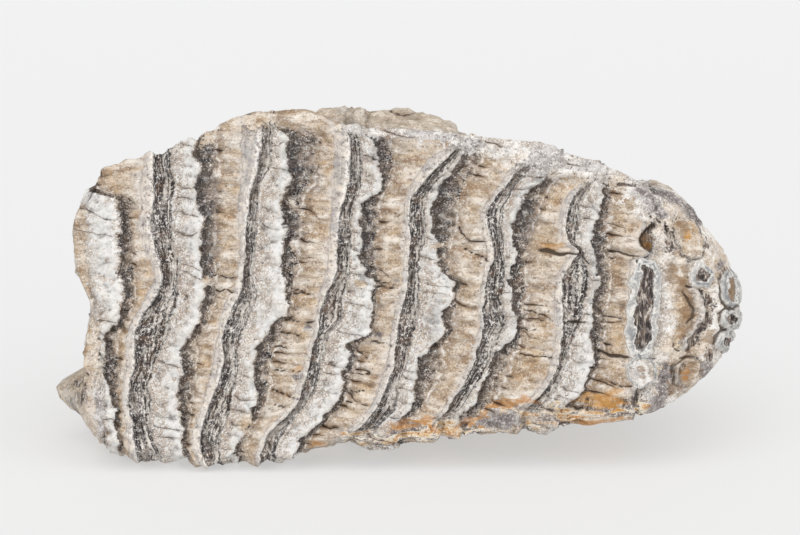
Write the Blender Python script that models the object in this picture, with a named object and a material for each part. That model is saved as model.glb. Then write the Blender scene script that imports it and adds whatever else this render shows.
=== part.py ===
"""Fossil mammoth molar, lying on its side with the chewing face to the front.

X runs along the tooth, from the broken end to the small unworn end. Y runs from the
chewing face back to the root side. Z is up. The tooth is one solid: its enamel plates,
dentine and cementum grew together. Sizes are in millimetres until the mesh is placed.
"""

import math

import bmesh
import bpy
import numpy as np

MM = 0.001

# Chewing face: (along the tooth, height up the face) along its upper and lower rims.
UPPER_RIM = ((-79, 68), (-76, 76), (-65, 79.8), (-57, 82), (-45, 87.8), (-32, 91), (-25, 91.3),
             (-17, 88), (20, 84.5), (35, 82.5), (50, 78), (58, 73.5))
LOWER_RIM = ((-79, 13), (-73, 6.5), (-63, 3.2), (-57, 4.2), (-49, 0.4), (-42, 3), (-37, 2), (-25, 4),
             (-16, 7.5), (-7, 5.3), (12, 8), (40, 10.3), (58, 12.8))
FACE_LEAN = math.radians(12.0)      # the face leans back from upright
RIM_ROUND = 3.0                     # radius where the face turns into the sides
NOSE_ROUND = 9.0                    # the same radius at the unworn end

# Depth of the crown behind the face, along the tooth.
CROWN_BACK = ((-79, 56), (-60, 67), (-20, 75), (25, 76), (58, 69))
BACK_ROUND = 22.0                   # radius where the sides turn into the root side
CROWN_DEPTH = 76.0
BACK_BULGE = 2.5                    # the middle of the root side stands out this far
UPPER_SLOPE = 0.24                  # the upper side falls this much for each mm backwards
UPPER_ARCH = 4.0                    # and this much more, in an arch, by the root side

# Slow swells of the sides: height, and their lengths along, in depth and upwards.
SWELL_HEIGHT = 1.3
SWELL_PHASE = 1.0
SWELL_ALONG = 15.0
SWELL_BACK = 13.0
SWELL_UP = 17.0
SWELL_FADE = 14.0                   # they fade out this close to the face

# The unworn end closes in quarter ellipses: backwards, forwards and in height.
NOSE_START = 58.0
NOSE_TIP = 89.0
NOSE_DEPTH = 27.0
NOSE_BACK_DEPTH = 30.0
NOSE_HEIGHT = 36.0
NOSE_TAPER = 0.28                   # how much straighter than an ellipse its rims come in

# The lower side comes down to the flat it rests on, and stays lifted towards the unworn end.
LOWER_FALL = ((-79, 0.5), (-20, 0.3), (10, 0.2), (30, 0.15), (58, 0.0))

# No corner takes more than this share of the section it rounds.
RIM_SHARE = 0.42
CORNER_SHARE = 0.4

# Swellings on the upper side: (along, depth, radius along, radius in depth, height).
ROOT_HUMP = (3.0, 46.0, 19.0, 17.0, 11.6)
ROOT_SADDLE = (-14.0, 44.0, 9.0, 17.0, 3.6)
END_FLANGE = (69.0, 14.0, 9.0, 9.0, 6.0)

# The broken end: (depth, height, radius in depth, radius in height, how far it stands out).
BROKEN_END = -79.0
BROKEN_SLAB = (0.0, 58.0, 16.0, 12.0, 2.6)
BROKEN_NOTCH = (0.0, 41.0, 20.0, 6.0, -2.2)
BROKEN_SPUR = (29.0, 13.0, 9.0, 6.5, 12.0)
BREAK_REACH = 21.0                  # the break bends the tooth this far along it
BREAK_BULGE = 1.6

# Cement valleys between the enamel plates: (height up the face, along the tooth).
VALLEYS = (
    ((0, -70), (15, -72.5), (28, -73.3), (36, -71.8), (44, -68.6), (70, -69.8), (80, -72)),
    ((0, -55.5), (25, -54), (36, -50.5), (46, -48.3), (90, -49)),
    ((0, -40), (20, -35.2), (33, -32.5), (41, -29), (60, -27.8), (76, -25), (92, -22)),
    ((5, -26), (17, -16.5), (32, -12), (42, -8), (57, -8.8), (72, -8.5), (88, -4)),
    ((5, -3), (18, 3.6), (33, 8.6), (41, 11.4), (52, 10), (64, 10.8), (72, 12.3), (85, 20)),
    ((8, 14), (21, 20), (34, 27.8), (51, 29.3), (66, 31), (75, 37), (84, 42)),
    ((10, 41), (30, 47.8), (38, 50), (50, 50.3), (66, 50), (80, 55)),
    ((12, 62), (30, 63), (50, 64), (72, 68)),
)
FIRST_PLATE_START = -86.0
LAST_PLATE_END = 92.0

# One plate from valley to valley: (share of the way, depth below the crest).
PLATE_PROFILE = ((0.0, 2.4), (0.12, 2.2), (0.45, 0.3), (0.53, 0.0), (0.6, 1.3), (0.72, 0.5),
                 (0.9, 0.6), (1.0, 2.4))
SIDE_RELIEF = 0.45                  # the plates show this much on the sides and the back

# How finely each stretch is divided.
BODY_SECTIONS = 66
NOSE_SECTIONS = 12
BREAK_SECTIONS = 8
FACE_POINTS = 18
CORNER_POINTS = 3
SIDE_POINTS = 10
BACK_POINTS = 7

FOSSIL_TAN = (0.47, 0.35, 0.24, 1.0)
FOSSIL_ROUGHNESS = 0.75
SMOOTH_ANGLE = math.radians(40.0)
WELD = 1e-6
LEAST_REACH = 1e-6                  # keeps a point in the middle of its section from dividing by nothing


def smooth_curve(points, at):
    """Read a monotone cubic through (position, value) points at the given positions."""
    xs, ys = np.array(points, dtype=float).T
    steps = np.diff(xs)
    slopes = np.diff(ys) / steps
    tangents = np.zeros_like(xs)
    tangents[0], tangents[-1] = slopes[0], slopes[-1]
    product = slopes[:-1] * slopes[1:]
    total = np.where(product > 0, slopes[:-1] + slopes[1:], 1.0)
    tangents[1:-1] = np.where(product > 0, 2.0 * product / total, 0.0)
    at = np.clip(at, xs[0], xs[-1])
    span = np.clip(np.searchsorted(xs, at) - 1, 0, len(steps) - 1)
    t = (at - xs[span]) / steps[span]
    ahead = steps[span] * (t ** 3 - 2 * t ** 2 + t) * tangents[span]
    behind = steps[span] * (t ** 3 - t ** 2) * tangents[span + 1]
    blend = 3 * t ** 2 - 2 * t ** 3
    return ys[span] * (1 - blend) + ys[span + 1] * blend + ahead + behind


def swelling(a, b, shape):
    """Height of a rounded swelling at places (a, b), in mm."""
    centre_a, centre_b, radius_a, radius_b, height = shape
    return height * np.exp(-((a - centre_a) / radius_a) ** 2 - ((b - centre_b) / radius_b) ** 2)


def nose_share(x):
    """How far x is along the nose, from 0 at its start to 1 at its tip."""
    return np.clip((x - NOSE_START) / (NOSE_TIP - NOSE_START), 0.0, 1.0)


def face_setback(x):
    """How far the chewing face has turned backwards at x."""
    return NOSE_DEPTH * (1.0 - np.sqrt(1.0 - nose_share(x) ** 2))


def crown_back(x):
    """How far behind the face the root side is at x."""
    return smooth_curve(CROWN_BACK, x) - NOSE_BACK_DEPTH * (1.0 - np.sqrt(1.0 - nose_share(x) ** 2))


def rim_height(rim, x):
    """Height of a rim at x. On the nose both rims come together at its tip."""
    share = nose_share(x)
    closing = (1.0 - NOSE_TAPER * share) * np.sqrt(1.0 - share ** 2)
    return NOSE_HEIGHT + (smooth_curve(rim, x) - NOSE_HEIGHT) * closing


def upper_side(x, depth):
    """Height of the upper side at x, so far behind the face."""
    behind = depth - face_setback(x)
    fall = UPPER_SLOPE * behind + UPPER_ARCH * (behind / CROWN_DEPTH) ** 2
    humps = sum(swelling(x, depth, shape) for shape in (ROOT_HUMP, ROOT_SADDLE, END_FLANGE))
    return rim_height(UPPER_RIM, x) + (humps - fall) * (1.0 - nose_share(x) ** 2)


def lower_side(x, depth):
    """Height of the lower side at x, so far behind the face. It stops at the resting flat."""
    fall = smooth_curve(LOWER_FALL, x) * (depth - face_setback(x))
    return np.maximum(rim_height(LOWER_RIM, x) - fall, 0.0)


def section_loops(x):
    """Closed sections across the tooth, one row for each x: their depths and heights."""
    x = x[:, None]
    front = face_setback(x)
    back = crown_back(x)
    top = rim_height(UPPER_RIM, x)
    bottom = rim_height(LOWER_RIM, x)
    rim = RIM_ROUND + (NOSE_ROUND - RIM_ROUND) * nose_share(x)
    rim = np.minimum(rim, RIM_SHARE * np.minimum(top - bottom, back - front))
    round_back = np.minimum(BACK_ROUND, CORNER_SHARE * (back - front))
    back_top = upper_side(x, back - round_back)
    back_bottom = lower_side(x, back - round_back)
    round_back = np.minimum(round_back, CORNER_SHARE * (back_top - back_bottom))

    def spread(count):
        return (np.arange(count) / count)[None, :]

    def between(start, end, share):
        return start + (end - start) * share

    up = between(bottom + rim, top - rim, spread(FACE_POINTS))
    turn = spread(CORNER_POINTS) * math.pi / 2
    along_top = between(front + rim, back - round_back, spread(SIDE_POINTS))
    along_bottom = between(back - round_back, front + rim, spread(SIDE_POINTS))
    down = between(back_top - round_back, back_bottom + round_back, spread(BACK_POINTS))
    depths = (front + 0 * up,
              front + rim * (1 - np.cos(turn)),
              along_top,
              back - round_back * (1 - np.sin(turn)),
              back + BACK_BULGE * np.sin(math.pi * spread(BACK_POINTS)),
              back - round_back * (1 - np.cos(turn)),
              along_bottom,
              front + rim * (1 - np.sin(turn)))
    heights = (up,
               top - rim * (1 - np.sin(turn)),
               upper_side(x, along_top),
               back_top - round_back * (1 - np.cos(turn)),
               down,
               back_bottom + round_back * (1 - np.sin(turn)),
               lower_side(x, along_bottom),
               bottom + rim * (1 - np.cos(turn)))
    return np.concatenate(depths, axis=1), np.concatenate(heights, axis=1)


def plate_relief(x, height):
    """Depth of the plate relief below the crests at (x, height)."""
    lines = [np.full_like(x, FIRST_PLATE_START)]
    lines += [smooth_curve(valley, height) for valley in VALLEYS]
    lines.append(np.full_like(x, LAST_PLATE_END))
    relief = np.zeros_like(x)
    for left, right in zip(lines[:-1], lines[1:]):
        share = (x - left) / (right - left)
        inside = (share >= 0.0) & (share < 1.0)
        relief = np.where(inside, smooth_curve(PLATE_PROFILE, share), relief)
    return relief


def tooth_points():
    """Points of the whole skin: (sections, points around, 3), in mm, face leaning back."""
    body = np.linspace(BROKEN_END, NOSE_START, BODY_SECTIONS)
    turn = np.linspace(0.0, 1.0, NOSE_SECTIONS + 1)[1:] * math.pi / 2
    nose = NOSE_START + (NOSE_TIP - NOSE_START) * np.sin(turn)
    x = np.concatenate((np.full(BREAK_SECTIONS, BROKEN_END), body, nose))
    depth, height = section_loops(x)
    x = np.repeat(x[:, None], depth.shape[1], axis=1)

    # The broken end closes in rings that shrink to one point, and so does the nose.
    ring = np.cos(np.linspace(math.pi / 2, 0.0, BREAK_SECTIONS, endpoint=False))[:, None]
    centre_depth = depth[BREAK_SECTIONS].mean()
    centre_height = height[BREAK_SECTIONS].mean()
    depth[:BREAK_SECTIONS] = centre_depth + (depth[:BREAK_SECTIONS] - centre_depth) * ring
    height[:BREAK_SECTIONS] = centre_height + (height[:BREAK_SECTIONS] - centre_height) * ring
    x[:BREAK_SECTIONS] -= BREAK_BULGE * np.sqrt(1.0 - ring ** 2)
    depth[-1] = depth[-1].mean()
    height[-1] = height[-1].mean()

    # Plates: pushed in towards the middle of the section, never below the resting flat.
    inward_depth = depth.mean(axis=1, keepdims=True) - depth
    inward_height = height.mean(axis=1, keepdims=True) - height
    reach = np.maximum(np.hypot(inward_depth, inward_height), LEAST_REACH)
    on_face = np.clip(1.0 - (depth - face_setback(x)) / RIM_ROUND, 0.0, 1.0)
    closing = np.ones(len(x))
    closing[:BREAK_SECTIONS] = ring[:, 0]
    closing[-1] = 0.0
    swell = np.sin(x / SWELL_ALONG + SWELL_PHASE) * np.sin(depth / SWELL_BACK + height / SWELL_UP)
    push = plate_relief(x, height) * (SIDE_RELIEF + (1 - SIDE_RELIEF) * on_face)
    away_from_face = np.clip((depth - face_setback(x)) / SWELL_FADE, 0.0, 1.0)
    push = (push + SWELL_HEIGHT * (1 + swell) * away_from_face) * closing[:, None]
    push *= np.where(height <= 0.0, 0.0, 1.0)
    towards = on_face + (1 - on_face) * inward_depth / reach
    depth = depth + push * towards
    height = height + push * (1 - on_face) * inward_height / reach

    # The break bends the end of the tooth out in a slab and a spur, and in at a notch.
    near_break = np.clip((BROKEN_END + BREAK_REACH - x) / BREAK_REACH, 0.0, 1.0)
    bend = sum(swelling(depth, height, shape) for shape in (BROKEN_SLAB, BROKEN_NOTCH, BROKEN_SPUR))
    x = x - bend * near_break ** 2 * (3 - 2 * near_break)

    up = np.maximum(height, 0.0) * math.cos(FACE_LEAN)
    away = depth + height * math.sin(FACE_LEAN)
    return np.stack((x, away, up), axis=-1)


def build_tooth():
    """Shape a grid into the skin, weld its seam and its two ends, and stand it at the origin."""
    points = tooth_points()
    sections, around = points.shape[:2]
    points = np.concatenate((points, points[:, :1]), axis=1)
    low, high = points.min(axis=(0, 1)), points.max(axis=(0, 1))
    middle = np.array(((low[0] + high[0]) / 2, (low[1] + high[1]) / 2, low[2]))
    points = (points - middle) * MM

    bm = bmesh.new()
    bmesh.ops.create_grid(bm, x_segments=sections - 1, y_segments=around, size=1.0)
    for vert in bm.verts:
        section = round((vert.co.x + 1.0) / 2.0 * (sections - 1))
        place = round((vert.co.y + 1.0) / 2.0 * around)
        vert.co = points[section, place]
    bmesh.ops.remove_doubles(bm, verts=bm.verts, dist=WELD)
    bmesh.ops.dissolve_degenerate(bm, edges=bm.edges, dist=WELD)
    bmesh.ops.recalc_face_normals(bm, faces=bm.faces)
    mesh = bpy.data.meshes.new("tooth")
    bm.to_mesh(mesh)
    bm.free()
    mesh.shade_smooth()
    mesh.set_sharp_from_angle(angle=SMOOTH_ANGLE)
    tooth = bpy.data.objects.new("tooth", mesh)
    bpy.context.scene.collection.objects.link(tooth)
    return tooth


def fossil_material():
    """Mineralised tan cement, dull all over."""
    material = bpy.data.materials.new("fossil_cement")
    material.use_nodes = True
    shader = material.node_tree.nodes["Principled BSDF"]
    shader.inputs["Base Color"].default_value = FOSSIL_TAN
    shader.inputs["Roughness"].default_value = FOSSIL_ROUGHNESS
    shader.inputs["Metallic"].default_value = 0.0
    return material


for old in list(bpy.data.objects):
    bpy.data.objects.remove(old, do_unlink=True)
build_tooth().data.materials.append(fossil_material())
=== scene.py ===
"""Fossil mammoth molar on a pale table: its worn chewing face, its sides and their finishes.

The tooth lies on its side with the chewing face to the front. Lengths are in millimetres until a
mesh is placed. The chart of the chewing face gives a place as (along, up): along is 0 near the
middle of the tooth and grows towards its unworn end, up is 0 at the lowest tip of the face.
"""

from __future__ import annotations

import logging
import math
from dataclasses import dataclass, field, replace
from enum import Enum
from typing import Any, Sequence

import bpy
import numpy as np
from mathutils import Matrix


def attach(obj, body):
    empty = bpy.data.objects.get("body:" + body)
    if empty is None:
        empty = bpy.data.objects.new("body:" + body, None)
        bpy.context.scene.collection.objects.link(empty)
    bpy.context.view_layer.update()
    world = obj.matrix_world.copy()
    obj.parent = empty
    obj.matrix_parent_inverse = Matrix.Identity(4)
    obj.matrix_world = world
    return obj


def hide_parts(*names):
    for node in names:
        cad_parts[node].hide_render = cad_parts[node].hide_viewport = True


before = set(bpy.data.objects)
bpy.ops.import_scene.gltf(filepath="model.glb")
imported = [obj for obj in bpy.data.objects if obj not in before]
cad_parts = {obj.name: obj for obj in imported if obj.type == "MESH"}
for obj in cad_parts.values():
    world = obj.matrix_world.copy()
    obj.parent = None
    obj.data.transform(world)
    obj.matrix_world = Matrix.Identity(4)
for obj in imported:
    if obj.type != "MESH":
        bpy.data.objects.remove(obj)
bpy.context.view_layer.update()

log = logging.getLogger("fossil_molar")

# Metres in a millimetre, and a size too small to matter, which keeps divisions from failing.
MM = 0.001
TINY = 1e-9

# Rows of given numbers, such as the (position, value) pairs of a curve.
Points = Sequence[tuple[float, ...]]
Pair = tuple[float, float]
Triple = tuple[float, float, float]
Array = np.ndarray


def smooth_curve(points: Points, at: Array) -> Array:
    """Read a monotone cubic through given points.

    Args:
        points: (position, value) pairs, in rising order of position.
        at: positions to read. Those past an end take the end's value.

    Returns:
        The values at those positions.
    """
    xs, ys = np.array(points, dtype=float).T
    steps = np.diff(xs)
    slopes = np.diff(ys) / steps
    tangents = np.zeros_like(xs)
    tangents[0], tangents[-1] = slopes[0], slopes[-1]
    product = slopes[:-1] * slopes[1:]
    total = np.where(product > 0, slopes[:-1] + slopes[1:], 1.0)
    tangents[1:-1] = np.where(product > 0, 2.0 * product / total, 0.0)
    at = np.clip(at, xs[0], xs[-1])
    span = np.clip(np.searchsorted(xs, at) - 1, 0, len(steps) - 1)
    t = (at - xs[span]) / steps[span]
    lead = steps[span] * (t ** 3 - 2 * t ** 2 + t) * tangents[span]
    lag = steps[span] * (t ** 3 - t ** 2) * tangents[span + 1]
    blend = 3 * t ** 2 - 2 * t ** 3
    return ys[span] * (1 - blend) + ys[span + 1] * blend + lead + lag


def stood(name: str, data: bpy.types.ID) -> bpy.types.Object:
    """Make an object of its data and stand it in the scene.

    Args:
        name: what it is called.
        data: its mesh, light or camera.

    Returns:
        The object.
    """
    thing = bpy.data.objects.new(name, data)
    bpy.context.scene.collection.objects.link(thing)
    return thing


def ease(low: float | Array, high: float | Array, value: Array) -> Array:
    """Rise smoothly from 0 at low to 1 at high. With high below low it falls instead."""
    t = np.clip((value - low) / (high - low), 0.0, 1.0)
    return t * t * (3 - 2 * t)


@dataclass(frozen=True)
class Grain:
    """Seeded lattice noise, the unevenness of natural surfaces.

    Each further layer is finer and weaker, and is read some cells apart from the one before.
    """

    seed: int
    strength: float = 0.6
    weaker: float = 0.55
    finer: float = 2.03
    apart: float = 17.3

    # Large odd numbers and shifts that scatter neighbouring lattice corners over a 32-bit range.
    SCATTER = (374761393, 668265263, 2147483647)
    SEED_STEP = 40503
    STIR = 1274126177
    SHIFTS = (13, 16)
    HALF_RANGE = 2.0 ** 31

    def _corner(self, ix: Array, iy: Array, iz: Array) -> Array:
        """Work out the fixed value of each lattice corner.

        Args:
            ix, iy, iz: the whole numbers of the corners.

        Returns:
            A pseudo-random value from -1 to 1 for each.
        """
        first, second, third = (part.astype(np.uint32) * np.uint32(factor)
                                for part, factor in zip((ix, iy, iz), self.SCATTER))
        mixed = first + second + third + np.uint32(self.seed * self.SEED_STEP)
        mixed = (mixed ^ (mixed >> np.uint32(self.SHIFTS[0]))) * np.uint32(self.STIR)
        mixed ^= mixed >> np.uint32(self.SHIFTS[1])
        return mixed.astype(np.float64) / self.HALF_RANGE - 1.0

    def toss(self, *whole: Any) -> Array:
        """A fixed toss for each set of three whole numbers, from 0 to 1."""
        return 0.5 + 0.5 * self._corner(*(np.asarray(number).astype(np.int64) for number in whole))

    def single(self, x: Array, y: Array, z: Array) -> Array:
        """Read one layer of noise.

        Args:
            x, y, z: places, in lattice cells.

        Returns:
            Noise from -1 to 1.
        """
        cell = [np.floor(value).astype(np.int64) for value in (x, y, z)]
        part = [value - base for value, base in zip((x, y, z), cell)]
        fade = [t * t * t * (t * (t * 6 - 15) + 10) for t in part]
        total = np.zeros(np.broadcast(x, y, z).shape)
        for corner in range(8):
            step = [(corner >> axis) & 1 for axis in range(3)]
            weight = np.ones_like(total)
            for axis in range(3):
                weight = weight * (fade[axis] if step[axis] else 1 - fade[axis])
            total += weight * self._corner(*(base + s for base, s in zip(cell, step)))
        return total

    def layered(self, x: Array, y: Array, z: Array, layers: int) -> Array:
        """Read noise of several layers.

        Args:
            x, y, z: places, in lattice cells of the coarsest layer.
            layers: how many layers are added.

        Returns:
            Noise of about -1 to 1.
        """
        total = np.zeros(np.broadcast(x, y, z).shape)
        strength, fineness = self.strength, 1.0
        for layer in range(layers):
            total += strength * self.single(x * fineness + self.apart * layer, y * fineness, z * fineness)
            strength *= self.weaker
            fineness *= self.finer
        return total


@dataclass(frozen=True)
class Skin:
    """The skin's points, with a row for each section and a column for each point round it."""

    x: Array
    depth: Array
    height: Array


@dataclass(frozen=True)
class Unevenness:
    """One kind of natural unevenness.

    Its size is how far it carries along, back and up, in mm. The shift sets it apart from others of
    like size, and the slant leans it along the tooth.
    """

    size: Triple
    layers: int = 2
    shift: Triple = (0.0, 0.0, 0.0)
    slant: float = 0.0

    def at(self, grain: Grain, skin: Skin) -> Array:
        """Read it all over the skin.

        Args:
            grain: the noise that it is made of.
            skin: the points to read it at.

        Returns:
            Values of about -1 to 1.
        """
        places = (skin.x, skin.depth, skin.height + self.slant * skin.x)
        cells = (place / size + shift for place, size, shift in zip(places, self.size, self.shift))
        return grain.layered(*cells, self.layers)


@dataclass(frozen=True)
class Sight:
    """The place that the chewing face is laid out from: square on, half a metre away."""

    lean_deg: float = 12.0
    distance: float = 500.0
    aim_along: float = -0.5
    aim_up: float = 51.6
    lens_mm: float = 90.0
    sensor_mm: float = 36.0

    @property
    def lean(self) -> float:
        """Lean of the face, and height of the eye above the horizon, in radians."""
        return math.radians(self.lean_deg)

    def chart(self, skin: Skin) -> tuple[Array, Array]:
        """Find where places on the tooth fall on the chart of the face.

        Args:
            skin: the places.

        Returns:
            (along, up) on the chart.
        """
        shrink = self.distance / (self.distance + skin.depth * math.cos(self.lean))
        along = self.aim_along + (skin.x - self.aim_along) * shrink
        up = self.aim_up + (skin.height + skin.depth * math.sin(self.lean) - self.aim_up) * shrink
        return along, up


@dataclass(frozen=True)
class Swelling:
    """A rounded swelling (or hollow) of a surface about one place."""

    centre: Pair
    reach: Pair
    height: float

    def at(self, a: Array, b: Array) -> Array:
        """Its height at places (a, b)."""
        fall = ((a - self.centre[0]) / self.reach[0]) ** 2 + ((b - self.centre[1]) / self.reach[1]) ** 2
        return self.height * np.exp(-fall)


class Region(Enum):
    """The stretches that a section across the tooth is made of, in the order it runs round."""

    FACE = "face"
    UPPER_RIM = "upper rim"
    UPPER_SIDE = "upper side"
    UPPER_TURN = "upper turn"
    ROOT_SIDE = "root side"
    LOWER_TURN = "lower turn"
    LOWER_SIDE = "lower side"
    LOWER_RIM = "lower rim"


@dataclass(frozen=True)
class Fineness:
    """How finely the skin is divided. One face point is about half a millimetre."""

    break_rings: int = 16
    body_sections: int = 268
    nose_sections: int = 90
    around: dict[Region, int] = field(default_factory=lambda: {
        Region.FACE: 170, Region.UPPER_RIM: 7, Region.UPPER_SIDE: 26, Region.UPPER_TURN: 7,
        Region.ROOT_SIDE: 18, Region.LOWER_TURN: 7, Region.LOWER_SIDE: 22, Region.LOWER_RIM: 7})

    def span(self, region: Region) -> slice:
        """Find which points around a section belong to a region.

        Args:
            region: the region asked about.

        Returns:
            Their columns.
        """
        names = list(self.around)
        start = sum(self.around[name] for name in names[:names.index(region)])
        return slice(start, start + self.around[region])


@dataclass(frozen=True)
class CrownShape:
    """The smooth outer shape of the molar, before its plates are worn into it.

    A rim gives the height at places along the tooth, the root side how far back it is, and the lower
    fall how much the lower side falls towards it. Swellings of the upper side are at (along, back),
    and those of the broken end at (back, up).
    """

    upper_rim: Points = ((-79, 68), (-76, 76), (-65, 79.8), (-57, 82), (-45, 87.8), (-32, 91), (-25, 91.3),
                         (-17, 88), (20, 84.5), (35, 82.5), (50, 78), (58, 73.5))
    lower_rim: Points = ((-79, 13), (-73, 6.5), (-63, 3.2), (-57, 4.2), (-49, 0.4), (-42, 3), (-37, 2),
                         (-25, 4), (-16, 7.5), (-7, 5.3), (12, 8), (40, 10.3), (58, 12.8))
    root_side: Points = ((-79, 56), (-60, 67), (-20, 75), (25, 76), (58, 69))
    lower_fall: Points = ((-79, 0.5), (-20, 0.3), (10, 0.2), (30, 0.15), (58, 0.0))
    rim_round: float = 3.0
    nose_round: float = 9.0
    back_round: float = 22.0
    back_bulge: float = 2.5
    upper_slope: float = 0.24
    upper_arch: float = 4.0
    crown_depth: float = 76.0
    rim_share: float = 0.42
    corner_share: float = 0.4
    nose_start: float = 58.0
    nose_tip: float = 89.0
    nose_depth: float = 27.0
    nose_back_depth: float = 30.0
    nose_height: float = 36.0
    nose_taper: float = 0.28
    hump: Swelling = Swelling((3.0, 46.0), (19.0, 17.0), 11.6)
    saddle: Swelling = Swelling((-17.5, 44.0), (10.0, 17.0), 6.4)
    flange: Swelling = Swelling((69.0, 14.0), (9.0, 9.0), 6.0)
    broken_end: float = -79.0
    break_bulge: float = 1.6
    break_reach: float = 21.0
    slab: Swelling = Swelling((0.0, 58.0), (16.0, 12.0), 2.6)
    notch: Swelling = Swelling((0.0, 41.0), (20.0, 6.0), -2.2)
    spur: Swelling = Swelling((29.0, 13.0), (9.0, 6.5), 12.0)
    footprint_middle: Pair = (-1.3, 43.65)

    def nose_share(self, x: Array) -> Array:
        """How far x is along the nose, from 0 at its start to 1 at its tip."""
        return np.clip((x - self.nose_start) / (self.nose_tip - self.nose_start), 0.0, 1.0)

    def setback(self, x: Array) -> Array:
        """How far the chewing face has turned backwards at x."""
        return self.nose_depth * (1.0 - np.sqrt(1.0 - self.nose_share(x) ** 2))

    def back(self, x: Array) -> Array:
        """How far behind the face the root side is at x."""
        turned = self.nose_back_depth * (1.0 - np.sqrt(1.0 - self.nose_share(x) ** 2))
        return smooth_curve(self.root_side, x) - turned

    def rim(self, points: Points, x: Array) -> Array:
        """Find the height of a rim. On the nose both rims come together at its tip.

        Args:
            points: the rim's own points, before the nose.
            x: where to read it.

        Returns:
            The height there.
        """
        share = self.nose_share(x)
        closing = (1.0 - self.nose_taper * share) * np.sqrt(1.0 - share ** 2)
        return self.nose_height + (smooth_curve(points, x) - self.nose_height) * closing

    def upper(self, x: Array, depth: Array) -> Array:
        """Find the height of the upper side.

        Args:
            x, depth: the places along the tooth and back from the front.

        Returns:
            The height there.
        """
        behind = depth - self.setback(x)
        fall = self.upper_slope * behind + self.upper_arch * (behind / self.crown_depth) ** 2
        humps = self.hump.at(x, depth) + self.saddle.at(x, depth) + self.flange.at(x, depth)
        return self.rim(self.upper_rim, x) + (humps - fall) * (1.0 - self.nose_share(x) ** 2)

    def lower(self, x: Array, depth: Array) -> Array:
        """Height of the lower side at x. It stops at the flat that the tooth lies on."""
        fall = smooth_curve(self.lower_fall, x) * (depth - self.setback(x))
        return np.maximum(self.rim(self.lower_rim, x) - fall, 0.0)

    def sections(self, x: Array, fine: Fineness) -> tuple[Array, Array]:
        """Closed sections across the tooth.

        Args:
            x: where the sections stand.
            fine: how many points each stretch gets.

        Returns:
            Depths and heights, one row for each section.
        """
        x = x[:, None]
        front, back = self.setback(x), self.back(x)
        top, bottom = self.rim(self.upper_rim, x), self.rim(self.lower_rim, x)
        rim = self.rim_round + (self.nose_round - self.rim_round) * self.nose_share(x)
        rim = np.minimum(rim, self.rim_share * np.minimum(top - bottom, back - front))
        turn = np.minimum(self.back_round, self.corner_share * (back - front))
        back_top, back_bottom = self.upper(x, back - turn), self.lower(x, back - turn)
        turn = np.minimum(turn, self.corner_share * (back_top - back_bottom))

        def spread(region: Region) -> Array:
            """Shares of the way along a region, from 0 up to just short of 1."""
            return (np.arange(fine.around[region]) / fine.around[region])[None, :]

        def angle(region: Region) -> Array:
            """Angles of a quarter turn, shared out along a region."""
            return spread(region) * math.pi / 2

        up = bottom + rim + (top - bottom - 2 * rim) * spread(Region.FACE)
        over = front + rim + (back - turn - front - rim) * spread(Region.UPPER_SIDE)
        under = back - turn + (front + rim - back + turn) * spread(Region.LOWER_SIDE)
        down = back_top - turn + (back_bottom - back_top + 2 * turn) * spread(Region.ROOT_SIDE)
        depths = (front + 0 * up,
                  front + rim * (1 - np.cos(angle(Region.UPPER_RIM))),
                  over,
                  back - turn * (1 - np.sin(angle(Region.UPPER_TURN))),
                  back + self.back_bulge * np.sin(math.pi * spread(Region.ROOT_SIDE)),
                  back - turn * (1 - np.cos(angle(Region.LOWER_TURN))),
                  under,
                  front + rim * (1 - np.sin(angle(Region.LOWER_RIM))))
        heights = (up,
                   top - rim * (1 - np.sin(angle(Region.UPPER_RIM))),
                   self.upper(x, over),
                   back_top - turn * (1 - np.cos(angle(Region.UPPER_TURN))),
                   down,
                   back_bottom + turn * (1 - np.sin(angle(Region.LOWER_TURN))),
                   self.lower(x, under),
                   bottom + rim * (1 - np.cos(angle(Region.LOWER_RIM))))
        return np.concatenate(depths, axis=1), np.concatenate(heights, axis=1)


class Tissue(Enum):
    """The stretches of a plate, in order. The value is where each starts in the running count."""

    VALLEY = 0
    WALL = 1
    CREST = 2
    TROUGH = 3
    LEDGE = 4


# How far the running count goes through one plate.
STRETCHES = len(Tissue)


@dataclass(frozen=True)
class Plate:
    """One worn plate of the molar, read from its cement valley to the next one's.

    Each row holds a height up the face, and how far along the tooth each stretch starts there: the
    cement valley, the ribbed cement wall, the enamel crest, the dentine trough and the chalky ledge.
    """

    rows: Points

    def starts(self, up: Array) -> list[Array]:
        """Where the stretches start, at the given heights up the face."""
        rows = sorted(self.rows)
        return [smooth_curve([(row[0], row[1 + tissue.value]) for row in rows], up) for tissue in Tissue]


BROKEN_PLATE = Plate((
    (77, -92, -91, -90, -89, -88), (50, -92, -91, -90, -89, -88), (44, -91, -90, -80, -79.7, -79.4),
    (28.5, -91, -90, -76, -75.7, -75.4), (18.5, -91, -90, -76.5, -76.2, -75.9),
    (11, -91, -90, -75.4, -75.1, -74.8),
))
FIRST_PLATE = Plate((
    (78.5, -78.5, -77.5, -64, -62.5, -58), (71.8, -78.5, -77.2, -65.2, -62.2, -57),
    (68.5, -71.8, -68, -65.2, -62, -57.5), (62.2, -70.5, -68, -65.8, -62.8, -57.5),
    (56, -70.2, -67.8, -64.2, -61.8, -57), (52.8, -70.2, -67.5, -62.5, -60.8, -55.5),
    (49, -70, -67, -61.8, -60, -56), (45.5, -69.5, -67, -63.5, -61, -56.5),
    (39, -71, -69, -67, -65.2, -57.8), (33.5, -75, -71.2, -68.8, -66.8, -59.5),
    (27.2, -74.5, -71.2, -69, -67, -61.8), (22, -73.8, -71.5, -69.8, -68.2, -63.5),
    (18, -72.5, -71.2, -69.8, -68.8, -63), (13, -71.2, -70.8, -69, -67.8, -63),
    (3, -71, -70, -67.8, -66, -60),
))
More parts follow.
